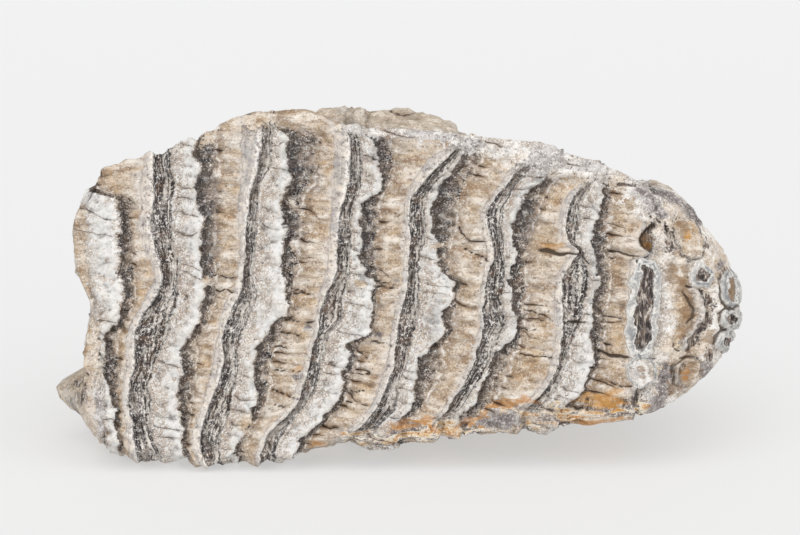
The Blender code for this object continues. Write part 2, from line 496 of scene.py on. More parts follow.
SECOND_PLATE = Plate((
    (81, -51.8, -46.5, -40, -35, -32.5), (77, -51.2, -46.2, -39.8, -36, -33),
    (72.2, -51.8, -46, -40, -37, -35.5), (68.2, -50.8, -46.8, -40.8, -38, -36),
    (54.8, -50.2, -47.2, -40.5, -39.5, -37), (48.5, -49.8, -46.5, -40.8, -39.8, -37.2),
    (44.8, -49.8, -46.8, -43.2, -41, -36.5), (40.8, -50, -47.5, -44.8, -42.8, -37.5),
    (33.5, -53.2, -51.2, -46, -45, -40.5), (29.5, -55, -52, -47, -44.5, -41.2),
    (24.5, -55.5, -52, -47.8, -45.5, -41.5), (13, -55.5, -53.5, -51.5, -49.8, -44),
    (8.5, -55.5, -54, -52.5, -50.5, -45.8),
    (3.5, -54.5, -53.8, -51.2, -49.5, -45), (0.5, -51.8, -51, -48.5, -47.5, -46.5),
))
THIRD_PLATE = Plate((
    (87.2, -33, -32.2, -17.2, -15, -12.5), (84, -28, -21, -16.8, -13, -10.5),
    (73.5, -28.5, -22, -17, -13, -10), (69.5, -29, -24.5, -17.5, -14.2, -11),
    (65.5, -29.2, -25.2, -17.5, -15.5, -12.8), (59.5, -29.5, -26, -17.8, -16, -13),
    (52.2, -30, -25.8, -18.5, -16.2, -12.8), (47.2, -29.5, -28, -19.8, -17.8, -14),
    (43.5, -28.5, -28, -20.5, -19.8, -14.8), (39.5, -29.5, -29, -21.2, -20.8, -14.8),
    (37.2, -32.8, -29.5, -22, -21, -16.5), (34.8, -33.8, -30.2, -22.2, -21.5, -18.8),
    (31, -36, -32.2, -23.2, -22.2, -19.2), (25.8, -37.2, -33, -24.8, -23.5, -20.2),
    (20.8, -36.8, -33.5, -26.2, -25, -21.5), (17, -37, -34.5, -28, -26.8, -24.5),
    (8.5, -40.2, -39, -35.2, -34.2, -30.5), (4.5, -41.5, -40.5, -36.5, -35.5, -31.8),
))
FOURTH_PLATE = Plate((
    (86, -10, -7.5, 13.2, 15, 17), (82, -6.8, -2.5, 12, 14, 16), (78.5, -6, -2.2, 6.5, 10.8, 13),
    (75.5, -5, -2.8, 4.5, 7.5, 11), (72, -4.5, -3.5, 2.2, 4.5, 7.8), (68.5, -8.5, -6, 1.2, 2.2, 5.8),
    (62, -11, -6.2, 0.8, 1.8, 5.8), (51, -10, -6.8, 0.8, 1.8, 4.2),
    (46.5, -6.2, -5.8, -0.2, 1, 4.5), (37.2, -8.2, -7.8, -2.2, -0.8, 3.5), (34.8, -9, -8, -2.5, -1, 2.8),
    (32.2, -13.5, -10.5, -2.8, -1.5, 2.2), (27, -13.5, -11.5, -3.8, -2.2, 0.8),
    (22, -15, -13.2, -5.5, -3.8, -0.8), (17, -16.5, -15.2, -7.8, -6.2, -1.8),
    (13.2, -20, -18.5, -11, -9, -4.2), (8.5, -25.5, -24, -16.5, -14.2, -10.5),
))
FIFTH_PLATE = Plate((
    (83, 18.5, 21, 38.5, 40, 42), (78.5, 15, 20, 29.5, 33.2, 36.5), (75.5, 12.5, 18.5, 26.5, 28.5, 32),
    (72, 9.8, 16, 24.5, 25.8, 28), (69, 9, 14.5, 22.2, 23, 26.8), (65.5, 8, 13.8, 20, 21.2, 25.2),
    (62, 7.8, 13.5, 20.2, 21.5, 25.2), (55.5, 8.2, 11.5, 21.5, 23, 25.2), (51, 9.5, 11.5, 20.8, 21.8, 26),
    (47.5, 14, 14.5, 20.2, 21, 25.8), (43.5, 13.2, 13.8, 19.8, 20.5, 24.8),
    (40.2, 10, 13.2, 19.5, 20, 25.5), (37, 11, 13, 19.5, 20, 26.5), (34.5, 11, 12, 19, 19.8, 24),
    (32, 6.5, 10.5, 18.2, 19.2, 23), (28.2, 4.2, 10, 17, 17.8, 22), (17, 2.5, 4.8, 11, 12, 15),
    (13.2, -0.5, 1.5, 7, 9, 11.5),
))
SIXTH_PLATE = Plate((
    (77.2, 38.5, 41, 49.5, 50, 50.5), (73.8, 36, 38.5, 46.5, 47.5, 48.5), (70.8, 31.5, 37, 42.8, 44, 46.5),
    (67, 29.2, 34.5, 40.2, 42, 44.5), (62, 28.5, 32.5, 39.5, 40.8, 43.8),
    (57.8, 28.2, 31.5, 40.2, 42, 43.5), (55.8, 28.2, 31.2, 43, 44.2, 45.2),
    (53, 27.8, 31.2, 41, 42.5, 45.5), (48.2, 27.2, 31, 38.8, 40.2, 46.5),
    (39.5, 28, 30.8, 38.2, 40.2, 45.2), (35.8, 29, 29.8, 38.5, 40, 43.2), (32, 26, 29.2, 38.5, 39.8, 42),
    (28, 22, 27.2, 37.8, 39.5, 41),
    (23.2, 20.5, 25.5, 35.8, 37.2, 39.5), (18.5, 18.5, 23, 32, 33.5, 36), (14.5, 15, 18.2, 27, 29.5, 32),
))
SEVENTH_PLATE = Plate((
    (73.5, 51, 52.5, 60.5, 61.2, 62), (68, 50, 52, 62.5, 63.2, 64), (62, 49, 51.5, 60.5, 61.2, 62.5),
    (57.5, 48.5, 51.8, 60, 61, 62.5), (55, 48.5, 51.8, 61.5, 62, 62.8), (53.5, 48.5, 52, 57.5, 58.5, 60.5),
    (51.8, 48.5, 52, 57, 59, 63.5), (39.5, 48.5, 51.5, 57, 59, 63.8),
    (34.5, 47, 51, 56.8, 58.8, 63.2), (31.5, 47, 50.2, 56.8, 59.2, 62), (30, 47, 49.5, 57.5, 60.2, 61.2),
    (25.8, 47.5, 48, 57.5, 59, 61), (21.8, 46, 47, 57.5, 58.8, 60), (15.8, 39.5, 42.5, 57, 58, 59.5),
))


@dataclass(frozen=True)
class PlateStack:
    """All plates of the molar in a row, read as one running count of stretches."""

    plates: tuple[Plate, ...] = (BROKEN_PLATE, FIRST_PLATE, SECOND_PLATE, THIRD_PLATE, FOURTH_PLATE,
                                 FIFTH_PLATE, SIXTH_PLATE, SEVENTH_PLATE)
    far_end: float = 96.0
    least_width: float = 0.25

    @property
    def unworn(self) -> int:
        """The running count where the unworn end starts, at the last plate's ledge."""
        return (len(self.plates) - 1) * STRETCHES + Tissue.LEDGE.value

    def count(self, along: Array, up: Array, ragged: Array) -> Array:
        """Count how many stretches lie before a place, with the share of the one it is in.

        Args:
            along, up: places on the chart of the face.
            ragged: how far the broken edge of a ledge stands out there, in mm.

        Returns:
            The running count. Its remainder by STRETCHES says which tissue the place is in.
        """
        lines = [line for plate in self.plates for line in plate.starts(up)]
        lines = [line + ragged if index % STRETCHES == 0 else line for index, line in enumerate(lines)]
        lines.append(np.full_like(up, self.far_end))
        for before, line in zip(lines[:-1], lines[1:]):
            np.maximum(line, before + self.least_width, out=line)
        stack = np.stack(lines)
        index = np.clip((along[None] >= stack).sum(axis=0) - 1, 0, len(lines) - 2)
        left = np.take_along_axis(stack, index[None], 0)[0]
        right = np.take_along_axis(stack, index[None] + 1, 0)[0]
        return index + np.clip((along - left) / (right - left), 0.0, 1.0)


class Mark(Enum):
    """What a place can be marked with beside its tissue. The value names the mesh's attribute."""

    PALE = "pale"
    STRANDS = "strands"
    CEMENT = "cement"
    ENAMEL = "enamel"
    BROWN = "brown"
    DARK = "dark"
    SLATE = "slate"
    RUST = "rust"
    GOLD = "gold"
    BLUE = "blue"
    CRACK = "crack"


@dataclass(frozen=True)
class Patch:
    """An oval patch of stain or of another tissue, with a soft edge."""

    mark: Mark
    centre: Pair
    reach: Pair

    def share(self, along: Array, up: Array) -> Array:
        """How deep in the patch the places are, from 1 at its middle to 0.5 at its edge and 0 outside."""
        away = np.hypot((along - self.centre[0]) / self.reach[0], (up - self.centre[1]) / self.reach[1])
        return np.clip(1.0 - away / 2, 0.0, 1.0)


@dataclass(frozen=True)
class Ring:
    """The worn tip of one enamel finger: a pale wall about a core. It may lean to one side.

    The outline says how deep and dark the groove about it is, and the shift how far its core
    stands off its middle. A ring that cement has coated shows no enamel.
    """

    centre: Pair
    reach: Pair
    core: Mark
    wall: float
    lean: float = 0.0
    squareness: float = 2.0
    outline: float = 1.0
    shift: Pair = (0.0, 0.0)
    coated: bool = False

    # Relief across a ring: (mm outside its edge, height in mm), and for the pit, outside its core.
    RISE = ((-1.0, 0.55), (-0.4, 0.4), (0.0, 0.0))
    GROOVE = ((-0.3, 0.0), (0.2, -0.8), (0.6, -0.4), (1.2, 0.0))
    PIT = ((-1.2, -1.3), (-0.3, -0.9), (0.3, 0.0))
    GROOVE_LINE = 0.15
    GROOVE_WIDTH = 0.7

    def beyond(self, along: Array, up: Array, core: bool = False) -> Array:
        """Measure about how far outside the ring places are.

        Args:
            along, up: places on the chart of the face.
            core: ask about the core in place of the whole ring.

        Returns:
            The distance in mm, below 0 inside it.
        """
        wide, tall = (size - self.wall * core for size in self.reach)
        above = up - self.centre[1] - self.shift[1] * core
        across = np.abs((along - self.centre[0] - self.shift[0] * core - self.lean * above) / wide)
        share = (across ** self.squareness + np.abs(above / tall) ** self.squareness) ** (1 / self.squareness)
        return (share - 1.0) * min(wide, tall)

    def count(self, along: Array, up: Array) -> Array:
        """Count into the ring as the plates are counted.

        Args:
            along, up: places on the chart of the face.

        Returns:
            Below 0 outside it, 0 to 1 through its wall and 1 to 2 in its core.
        """
        outside, core = self.beyond(along, up), self.beyond(along, up, True)
        through = -outside / np.maximum(core - outside, TINY)
        middle = min(self.reach) - self.wall
        return np.where(outside > 0, -outside, np.where(core > 0, through, 1.0 - core / middle))

    def relief(self, along: Array, up: Array) -> Array:
        """Work out the rise of the wall and the fall of the groove and the core.

        Args:
            along, up: places on the chart of the face.

        Returns:
            The height there in mm.
        """
        outside, core = self.beyond(along, up), self.beyond(along, up, True)
        wall, groove = smooth_curve(self.RISE, outside), smooth_curve(self.GROOVE, outside)
        return wall + self.outline * groove + smooth_curve(self.PIT, core)

    def groove(self, along: Array, up: Array) -> Array:
        """How deep in the groove the places are, from 1 along its line to 0 beside it."""
        off = np.abs(self.beyond(along, up) - self.GROOVE_LINE)
        return self.outline * np.clip(1.0 - off / self.GROOVE_WIDTH, 0.0, 1.0)


@dataclass(frozen=True)
class Seam:
    """A crack or a band that follows a line. Its points are (along, up, width).

    The spare width lets a line thinner than the skin's points still catch them.
    """

    mark: Mark
    depth: float
    points: Points
    spare: float = 0.2

    def share(self, along: Array, up: Array) -> Array:
        """Work out how deep in the seam places are.

        Args:
            along, up: places on the chart of the face.

        Returns:
            1 on its line, about 0.5 at its edge and 0 well outside.
        """
        best = np.zeros_like(along)
        for start, end in zip(self.points[:-1], self.points[1:]):
            reach = np.array(end[:2]) - np.array(start[:2])
            way = ((along - start[0]) * reach[0] + (up - start[1]) * reach[1]) / (reach @ reach)
            way = np.clip(way, 0.0, 1.0)
            off = np.hypot(along - start[0] - way * reach[0], up - start[1] - way * reach[1])
            width = start[2] + (end[2] - start[2]) * way
            best = np.maximum(best, np.clip(1.0 - off / (width + self.spare), 0.0, 1.0))
        return best


def patches(mark: Mark, *rows: tuple[float, ...]) -> tuple[Patch, ...]:
    """Patches of one mark, from rows of (along, up, reach along, reach up)."""
    return tuple(Patch(mark, row[:2], row[2:]) for row in rows)


def cracks(*lines: Points, depth: float = 0.9) -> tuple[Seam, ...]:
    """Open cracks along the given lines."""
    return tuple(Seam(Mark.CRACK, depth, points) for points in lines)


# The long ring, the plain one under it, two pockets that cement has coated, and four small ones at the tip.
RINGS = (
    Ring((60.4, 41.4), (4.1, 12.6), Mark.DARK, 2.1, 0.08, 3.0, 0.0, (0.2, 0)),
    Ring((59.8, 25.4), (3.7, 3.8), Mark.PALE, 0.4, 0.0, 2.4, 0.5),
    Ring((71.5, 25.3), (3.1, 3.9), Mark.CEMENT, 1.3, 0.12, 2.4, 0.78, (-0.2, 0.3), True),
    Ring((71.9, 58.9), (3.4, 5.2), Mark.CEMENT, 0.5, -0.25, 2.6, 0.74, (0.0, 0.0), True),
    Ring((75.1, 49.6), (3.0, 3.1), Mark.DARK, 1.7, 0.0, 2.5, 0.45),
    Ring((82.3, 46.2), (2.5, 4.7), Mark.BROWN, 1.5, -0.1, 2.2),
    Ring((82.5, 38.7), (2.7, 2.8), Mark.DARK, 1.3),
    Ring((81.2, 33.0), (2.8, 2.8), Mark.DARK, 1.5),
)

# What stands in the middle of a ring.
SPOTS = (
    *patches(Mark.CEMENT, (62.4, 39.5, 0.9, 8.0), (82.3, 46.2, 1.2, 3)),
    *patches(Mark.BROWN, (60, 25.6, 0.8, 1.2), (71.3, 25.6, 2.6, 4.0), (70.6, 60.4, 1, 2.4)),
    *patches(Mark.RUST, (71.2, 26, 0.6, 1.5), (72.1, 59.2, 0.7, 0.8), (82.2, 46.6, 0.5, 0.9)),
    *patches(Mark.DARK, (70.2, 26.6, 0.6, 1.6)),
    *patches(Mark.SLATE, (69.6, 23.2, 0.8, 1.8), (82.5, 48.4, 0.7, 0.9)),
    *patches(Mark.GOLD, (71.9, 59.4, 0.9, 1.1)),
    *patches(Mark.PALE, (82.4, 44.2, 0.6, 0.8)),
)

# Stains, crust and other cement that lie on the tissues.
PATCHES = (
    *patches(Mark.PALE, (61.5, 68, 3, 5), (64.4, 59.5, 1.6, 4), (60.5, 30.5, 4, 1.4), (62, 18, 2.5, 3.5),
                        (-46.6, 75, 1.2, 1)),
    *patches(Mark.DARK, (77, 29.5, 1.2, 1.7), (75.8, 57.6, 1.3, 1.2), (46.2, 17.5, 1.4, 1.1),
                        (54.6, 18.2, 1.5, 1.1), (-82.6, 23, 3.2, 2.6), (-83.6, 16, 2.2, 3.6)),
    *patches(Mark.SLATE, (65.8, 24.6, 2.4, 3.4), (76.2, 25.8, 1.8, 2.4), (79.6, 52.2, 1.2, 1.2),
                         (24.5, 13.2, 7, 2), (-23.2, 36.5, 1.2, 1), (-26.2, 24.2, 1, 1),
                         (-6, 34.5, 1.2, 1)),
    *patches(Mark.BROWN, (61.2, 58.2, 1.4, 2), (69.6, 21.4, 2.2, 2), (77.4, 33.6, 1.4, 2),
                         (67.6, 50.6, 1.6, 3)),
    *patches(Mark.GOLD, (61.4, 57.4, 0.8, 1.2), (50, 18, 4.4, 2.8), (-26.5, 27, 1.2, 0.8),
                        (37, 56.8, 2.4, 1.0)),
    *patches(Mark.RUST, (51.5, 17.4, 2.6, 1.4), (0.5, 12, 4.5, 0.9), (26.5, 17.4, 2.6, 1.5),
                        (16.2, 13, 1.4, 1.2), (46.8, 12.4, 4, 0.8), (-21, 7, 2, 1)),
    *patches(Mark.CEMENT, (50.5, 12.8, 5, 1.4), (-27, 67.4, 1.6, 1), (-26.6, 57, 1.8, 1.6),
                          (-48.4, 48.6, 1.6, 1.4), (9, 57, 1.6, 1), (-10.6, 47.4, 1.4, 1.2),
                          (-39, 12, 1.6, 3)),
    *patches(Mark.BLUE, (-48.5, 73, 2.6, 6), (-47.6, 58, 1.8, 6), (-24.6, 77, 3, 6),
                        (-26.8, 62.5, 1.8, 3.4), (-5.6, 79.8, 2.4, 4), (-8.6, 56.5, 2, 6),
                        (10.6, 65.5, 2.6, 6), (31.4, 65, 2.2, 5.6), (37, 73, 3.6, 1.8), (48.6, 55, 1.6, 7),
                        (8, 39, 1.6, 4)),
)

# Bands of other tissue and stain along the rims and about the rings, then the open cracks.
SEAMS = (
    Seam(Mark.CEMENT, 0.0, ((-49, 84, 4), (-43, 87.5, 5), (-35, 89.2, 5), (-25.5, 89.8, 6), (-17, 88, 4))),
    Seam(Mark.PALE, 0.0, ((-14, 87.2, 3), (-8, 86.8, 4), (0, 86, 4), (9.5, 85.2, 5), (19.5, 83, 7),
                          (29.5, 80.5, 8), (39.5, 78, 8), (49.5, 75.5, 7), (59.5, 71, 7), (66.5, 66, 5),
                          (72, 60, 3))),
    Seam(Mark.STRANDS, 0.0, ((-14, 8.5, 3), (-0.5, 9.5, 5), (12, 11, 6), (24.5, 13, 6), (39.5, 14.8, 5),
                             (49.5, 15, 5), (59.5, 17, 5))),
    Seam(Mark.PALE, 0.0, ((-80, 50, 2), (-78.5, 42, 2.4), (-76.9, 35.5, 2), (-76, 28, 2), (-75.4, 11, 2))),
    Seam(Mark.CEMENT, 0.0, ((-80.4, 66, 3), (-81, 58, 4), (-80, 50, 3.4), (-79, 42, 3.4))),
    Seam(Mark.CEMENT, 0.3, ((69.9, 53.5, 5), (69.7, 49.5, 5), (69.5, 46, 5), (70.6, 43, 4.4), (71.4, 40, 3.6),
                            (70.4, 36, 2.6), (68.9, 32.6, 2.6))),
    Seam(Mark.BROWN, 0.2, ((70.6, 52, 2.4), (70.6, 46.5, 2.8), (71.6, 42.5, 2.8), (71.6, 39.5, 2.5),
                           (70.2, 34.5, 1.6))),
    Seam(Mark.ENAMEL, -0.6, ((73.4, 47, 2), (74.3, 43.5, 2.4), (74.6, 40, 2.4), (73.6, 37, 2.4),
                             (72.2, 34.6, 2.4), (70.6, 32, 2))),
    Seam(Mark.DARK, 0.9, ((75.3, 45.6, 1.6), (76.6, 43.5, 1.9), (77, 40.6, 1.7), (76, 38, 1.9),
                          (74, 35.3, 1.5), (73.3, 33.2, 2.8), (72, 31.4, 1.6))),
    Seam(Mark.DARK, 1.3, ((62.6, 62.2, 0.8), (61.6, 60.4, 1.7), (60.8, 58.8, 2.2), (61.2, 57.2, 1.6),
                          (61.8, 55.8, 0.4))),
    Seam(Mark.DARK, 0.4, ((64, 63.5, 1), (66.4, 60.6, 1.4), (67.3, 58.6, 2.6), (67.6, 56.4, 2.4))),
    Seam(Mark.SLATE, 0.0, ((59.5, 71, 1.5), (62, 69, 1.5), (63.8, 66.8, 1.8), (65.6, 64.4, 1.8))),
    Seam(Mark.SLATE, 0.0, ((61.5, 72.2, 2), (66.5, 70.4, 3.4), (69.8, 68.6, 3.2), (72.4, 66, 2.8),
                           (74.6, 63.2, 2))),
    Seam(Mark.SLATE, 0.2, ((66, 27, 2.5), (65.8, 22.3, 4), (64.5, 18.5, 4), (63, 15.5, 3))),
    Seam(Mark.DARK, 0.3, ((67.6, 21.3, 1), (65.6, 18.4, 1.2), (63.2, 15.4, 1.2))),
    Seam(Mark.DARK, 0.3, ((59.2, 21, 1.2), (57.8, 18, 1.4))),
    Seam(Mark.RUST, 0.0, ((-4, 10.5, 0.8), (4, 12.5, 1.2), (8, 14.5, 0.8))),
    Seam(Mark.RUST, 0.0, ((13, 10.8, 0.5), (17, 12.6, 1), (22, 16.5, 1), (30, 18.5, 1.7), (35, 17.5, 0.7))),
    Seam(Mark.RUST, 0.0, ((40, 12.5, 0.6), (52, 12.5, 1), (56, 14.5, 0.5))),
) + cracks(
    ((34, 55.8, 0.3), (36.2, 55.8, 1.1), (38.5, 55, 0.7), (44, 55, 0.2)),
    ((51, 56, 0.2), (55.8, 55, 0.4), (61, 54.2, 0.1)),
    ((70.2, 45.6, 0.2), (71.8, 43.4, 0.5), (73.1, 41.2, 0.3), (72.6, 39, 0.6), (71.2, 37.6, 0.1)),
    ((71.4, 46.8, 0.4), (74, 46.9, 0.4), (76.5, 47.2, 0.2)),
    ((67.6, 34, 0.1), (68, 31.4, 0.3), (69.6, 30.4, 0.1)),
    ((69.6, 29.2, 0.1), (72, 29.4, 0.3), (74.5, 29, 0.1)), ((67.8, 27, 0.4), (68.1, 22.4, 0.6)),
    ((62.8, 62.4, 0.3), (61.2, 60.8, 0.5), (59.5, 58.9, 0.6), (60.4, 57, 0.4), (61.6, 55.6, 0.2)),
    ((54.4, 72.4, 0.9), (58.4, 72.2, 0.8)),
    ((49.2, 30.8, 0.3), (52.5, 29.5, 0.6), (57.5, 29, 0.4), (63.5, 28.8, 0.1)),
    ((44.2, 56, 0.3), (47, 52.5, 0.4)),
    ((50, 39.8, 0.2), (55, 38.8, 0.1)),
    ((41.8, 38.2, 0.4), (46.5, 37.5, 0.1)),
    ((52.2, 23, 0.1), (57, 21.5, 0.2)),
    ((30.8, 41, 0.2), (36.5, 39.8, 0.1)),
    ((30.5, 39, 0.3), (36.2, 38, 0.1)),
    ((29.2, 36.5, 0.2), (33.5, 35.8, 0.1)),
    ((29.8, 29.8, 0.2), (37.5, 29, 0.1)),
    ((-27.5, 46, 0.2), (-23, 45, 0.1)),
    ((-29.5, 38.5, 0.2), (-22, 37.8, 0.1)),
    ((-30.2, 35.2, 0.3), (-25, 34.5, 0.1)),
    ((-32.2, 32.2, 0.3), (-28.8, 31.5, 0.1)),
    ((-32.8, 25.8, 0.2), (-25.2, 25.8, 0.1)),
    ((-32.5, 20.8, 0.2), (-26.2, 18.8, 0.1)),
    ((-32.5, 17.5, 0.2), (-29.2, 16.5, 0.1)),
    ((-6, 48, 0.2), (-1.8, 47.5, 0.1)),
    ((-6.2, 46.8, 0.2), (-1.5, 46.2, 0.1)),
    ((-8.2, 33.5, 0.2), (-2.5, 32, 0.1)),
    ((-12.5, 25, 0.2), (-8, 25, 0.1)),
    ((-12.8, 20.8, 0.2), (-6.5, 20.2, 0.1)),
    ((-14, 18.2, 0.2), (-7.8, 16.8, 0.1)),
    ((-11.2, 30.8, 0.2), (-8.5, 29, 0.1)),
    ((-47, 46.2, 0.2), (-41.5, 45.2, 0.1)),
    ((-47, 49.8, 0.1), (-41.5, 48.8, 0.1)),
    ((14.2, 61.5, 0.2), (17, 58.2, 0.2), (21.2, 58.2, 0.1)),
    ((16, 56.5, 0.2), (21.5, 53, 0.1)),
    ((-20.5, 11.8, 0.1), (-17.8, 11, 0.1)),
)


class Relief(Enum):
    """The kinds of relief that wear and crumbling leave on the tissues."""

    RIBS = Unevenness((5.5, 1.1, 1.0), 3, slant=0.2)
    FOLDS = Unevenness((7.0, 2.5, 2.4), 2, (0.0, 0.0, 21.0), 0.2)
    # Read across a tissue in place of along the tooth: 3.4 of them to a stretch.
    LINES = Unevenness((1 / 3.4, 6.0, 6.0))
    LUMPS = Unevenness((1.7, 1.7, 1.7), 3)
    KNOBS = Unevenness((4.5, 4.5, 3.5), 2, (8.0, 0.0, 0.0))
    RUBBLE = Unevenness((0.95, 0.95, 0.95), 2, (30.0, 0.0, 0.0))
    PITS = Unevenness((1.2, 1.2, 1.2), 2, (60.0, 0.0, 0.0))
    BROAD = Unevenness((10.0, 10.0, 10.0), 3)
    ROUGH = Unevenness((2.4, 2.4, 2.4), 3, (0.0, 0.0, 15.0))


# How strong each kind is in each tissue and on the sides, in mm.
TISSUE_RELIEF = {
    Tissue.WALL: {Relief.RIBS: 0.4, Relief.FOLDS: 1.0, Relief.KNOBS: 0.6, Relief.RUBBLE: 0.4},
    Tissue.TROUGH: {Relief.LINES: 0.9, Relief.RUBBLE: 0.5, Relief.KNOBS: 0.5},
    Tissue.LEDGE: {Relief.LUMPS: 1.0, Relief.PITS: 2.0, Relief.KNOBS: 0.9},
    Tissue.VALLEY: {Relief.RUBBLE: 1.2, Relief.LUMPS: 0.9},
    Tissue.CREST: {Relief.LUMPS: 0.15, Relief.RUBBLE: 0.15},
}
SIDE_RELIEF = {Relief.BROAD: 1.6, Relief.ROUGH: 0.6}


@dataclass(frozen=True)
class Draping:
    """Cement that hangs in blocks, one above the other, with cracks running in from the valley.

    Pairs are what a share rises or falls between. A crack's two tosses say how far it opens and how
    far it runs through the plate. It narrows over the crack's share of a block.
    """

    block: float = 3.0
    slant: float = 0.22
    plate_shift: float = 0.37
    wander: tuple[tuple[float, Unevenness], ...] = ((0.8, Unevenness((9.0, 9.0, 6.0))),
                                                    (0.16, Unevenness((2.0, 2.0, 2.4))))
    open_toss: int = 3
    run_toss: int = 8
    opens: Pair = (0.25, 1.0)
    mouth: Pair = (0.95, 1.05)
    end: float = 1.1
    least_run: float = 1.15
    more_run: float = 0.75
    ledge_opens: Pair = (0.3, 0.9)
    ledge_share: float = 0.4
    crack_mm: float = 0.45
    crack_share: float = 0.1
    cushion_mm: float = 1.1
    least_cushion: float = 0.3

    def count(self, grain: Grain, skin: Skin, plate: Array) -> Array:
        """Count the blocks.

        Args:
            grain: the noise that they wander by.
            skin: the points to count at.
            plate: the number of the plate there.

        Returns:
            The running count. A crack lies at each whole number.
        """
        count = (skin.height + self.slant * skin.x) / self.block + self.plate_shift * plate
        for strength, kind in self.wander:
            count = count + strength * kind.at(grain, skin)
        return count

    def split(self, grain: Grain, blocks: Array, plate: Array, stretch: Array, ledge: Array) -> Array:
        """Work out how far the nearest crack has opened.

        Args:
            grain: what the cracks are tossed by.
            blocks: the running count of blocks.
            plate: the number of the plate.
            stretch: which tissue the place is in, and where in it.
            ledge: 1 in the middle of a ledge and 0 outside it.

        Returns:
            A share, from 0 for no crack to 1.
        """
        nearest = np.round(blocks)
        luck = grain.toss(nearest, plate, self.open_toss)
        run = self.least_run + self.more_run * grain.toss(nearest, plate, self.run_toss)
        wall = ease(*self.opens, luck) * ease(run, self.end, stretch) * ease(*self.mouth, stretch)
        return np.maximum(wall, self.ledge_share * ease(*self.ledge_opens, luck) * ledge)

    def fall(self, blocks: Array, split: Array) -> Array:
        """Work out how far the surface falls at a crack and between two cushions.

        Args:
            blocks: the running count of blocks.
            split: how far the nearest crack has opened.

        Returns:
            The fall in mm.
        """
        off = np.abs(blocks - np.round(blocks))
        crack = split * self.crack_mm * np.exp(-(off / self.crack_share) ** 2)
        return crack + np.maximum(split, self.least_cushion) * self.cushion_mm * (1 - 2 * off) ** 3


@dataclass(frozen=True)
class Chart:
    """Where the skin's points fall on the chart of the face when its marks are drawn.

    Each kind of mark sways by its own amount. Seen is 1 on the face, and falls to 0 on the sides.
    """

    broad: tuple[Array, Array]
    rings: tuple[Array, Array]
    cracks: tuple[Array, Array]
    seen: Array


@dataclass
class Surface:
    """The surface while it is made: its height over the smooth skin in mm, and its marks."""

    worn: Array
    marks: dict[Mark, Array]

    def mark(self, mark: Mark, share: Array) -> None:
        """Mark the surface, but keep what is marked more already."""
        self.marks[mark] = np.maximum(self.marks[mark], share)


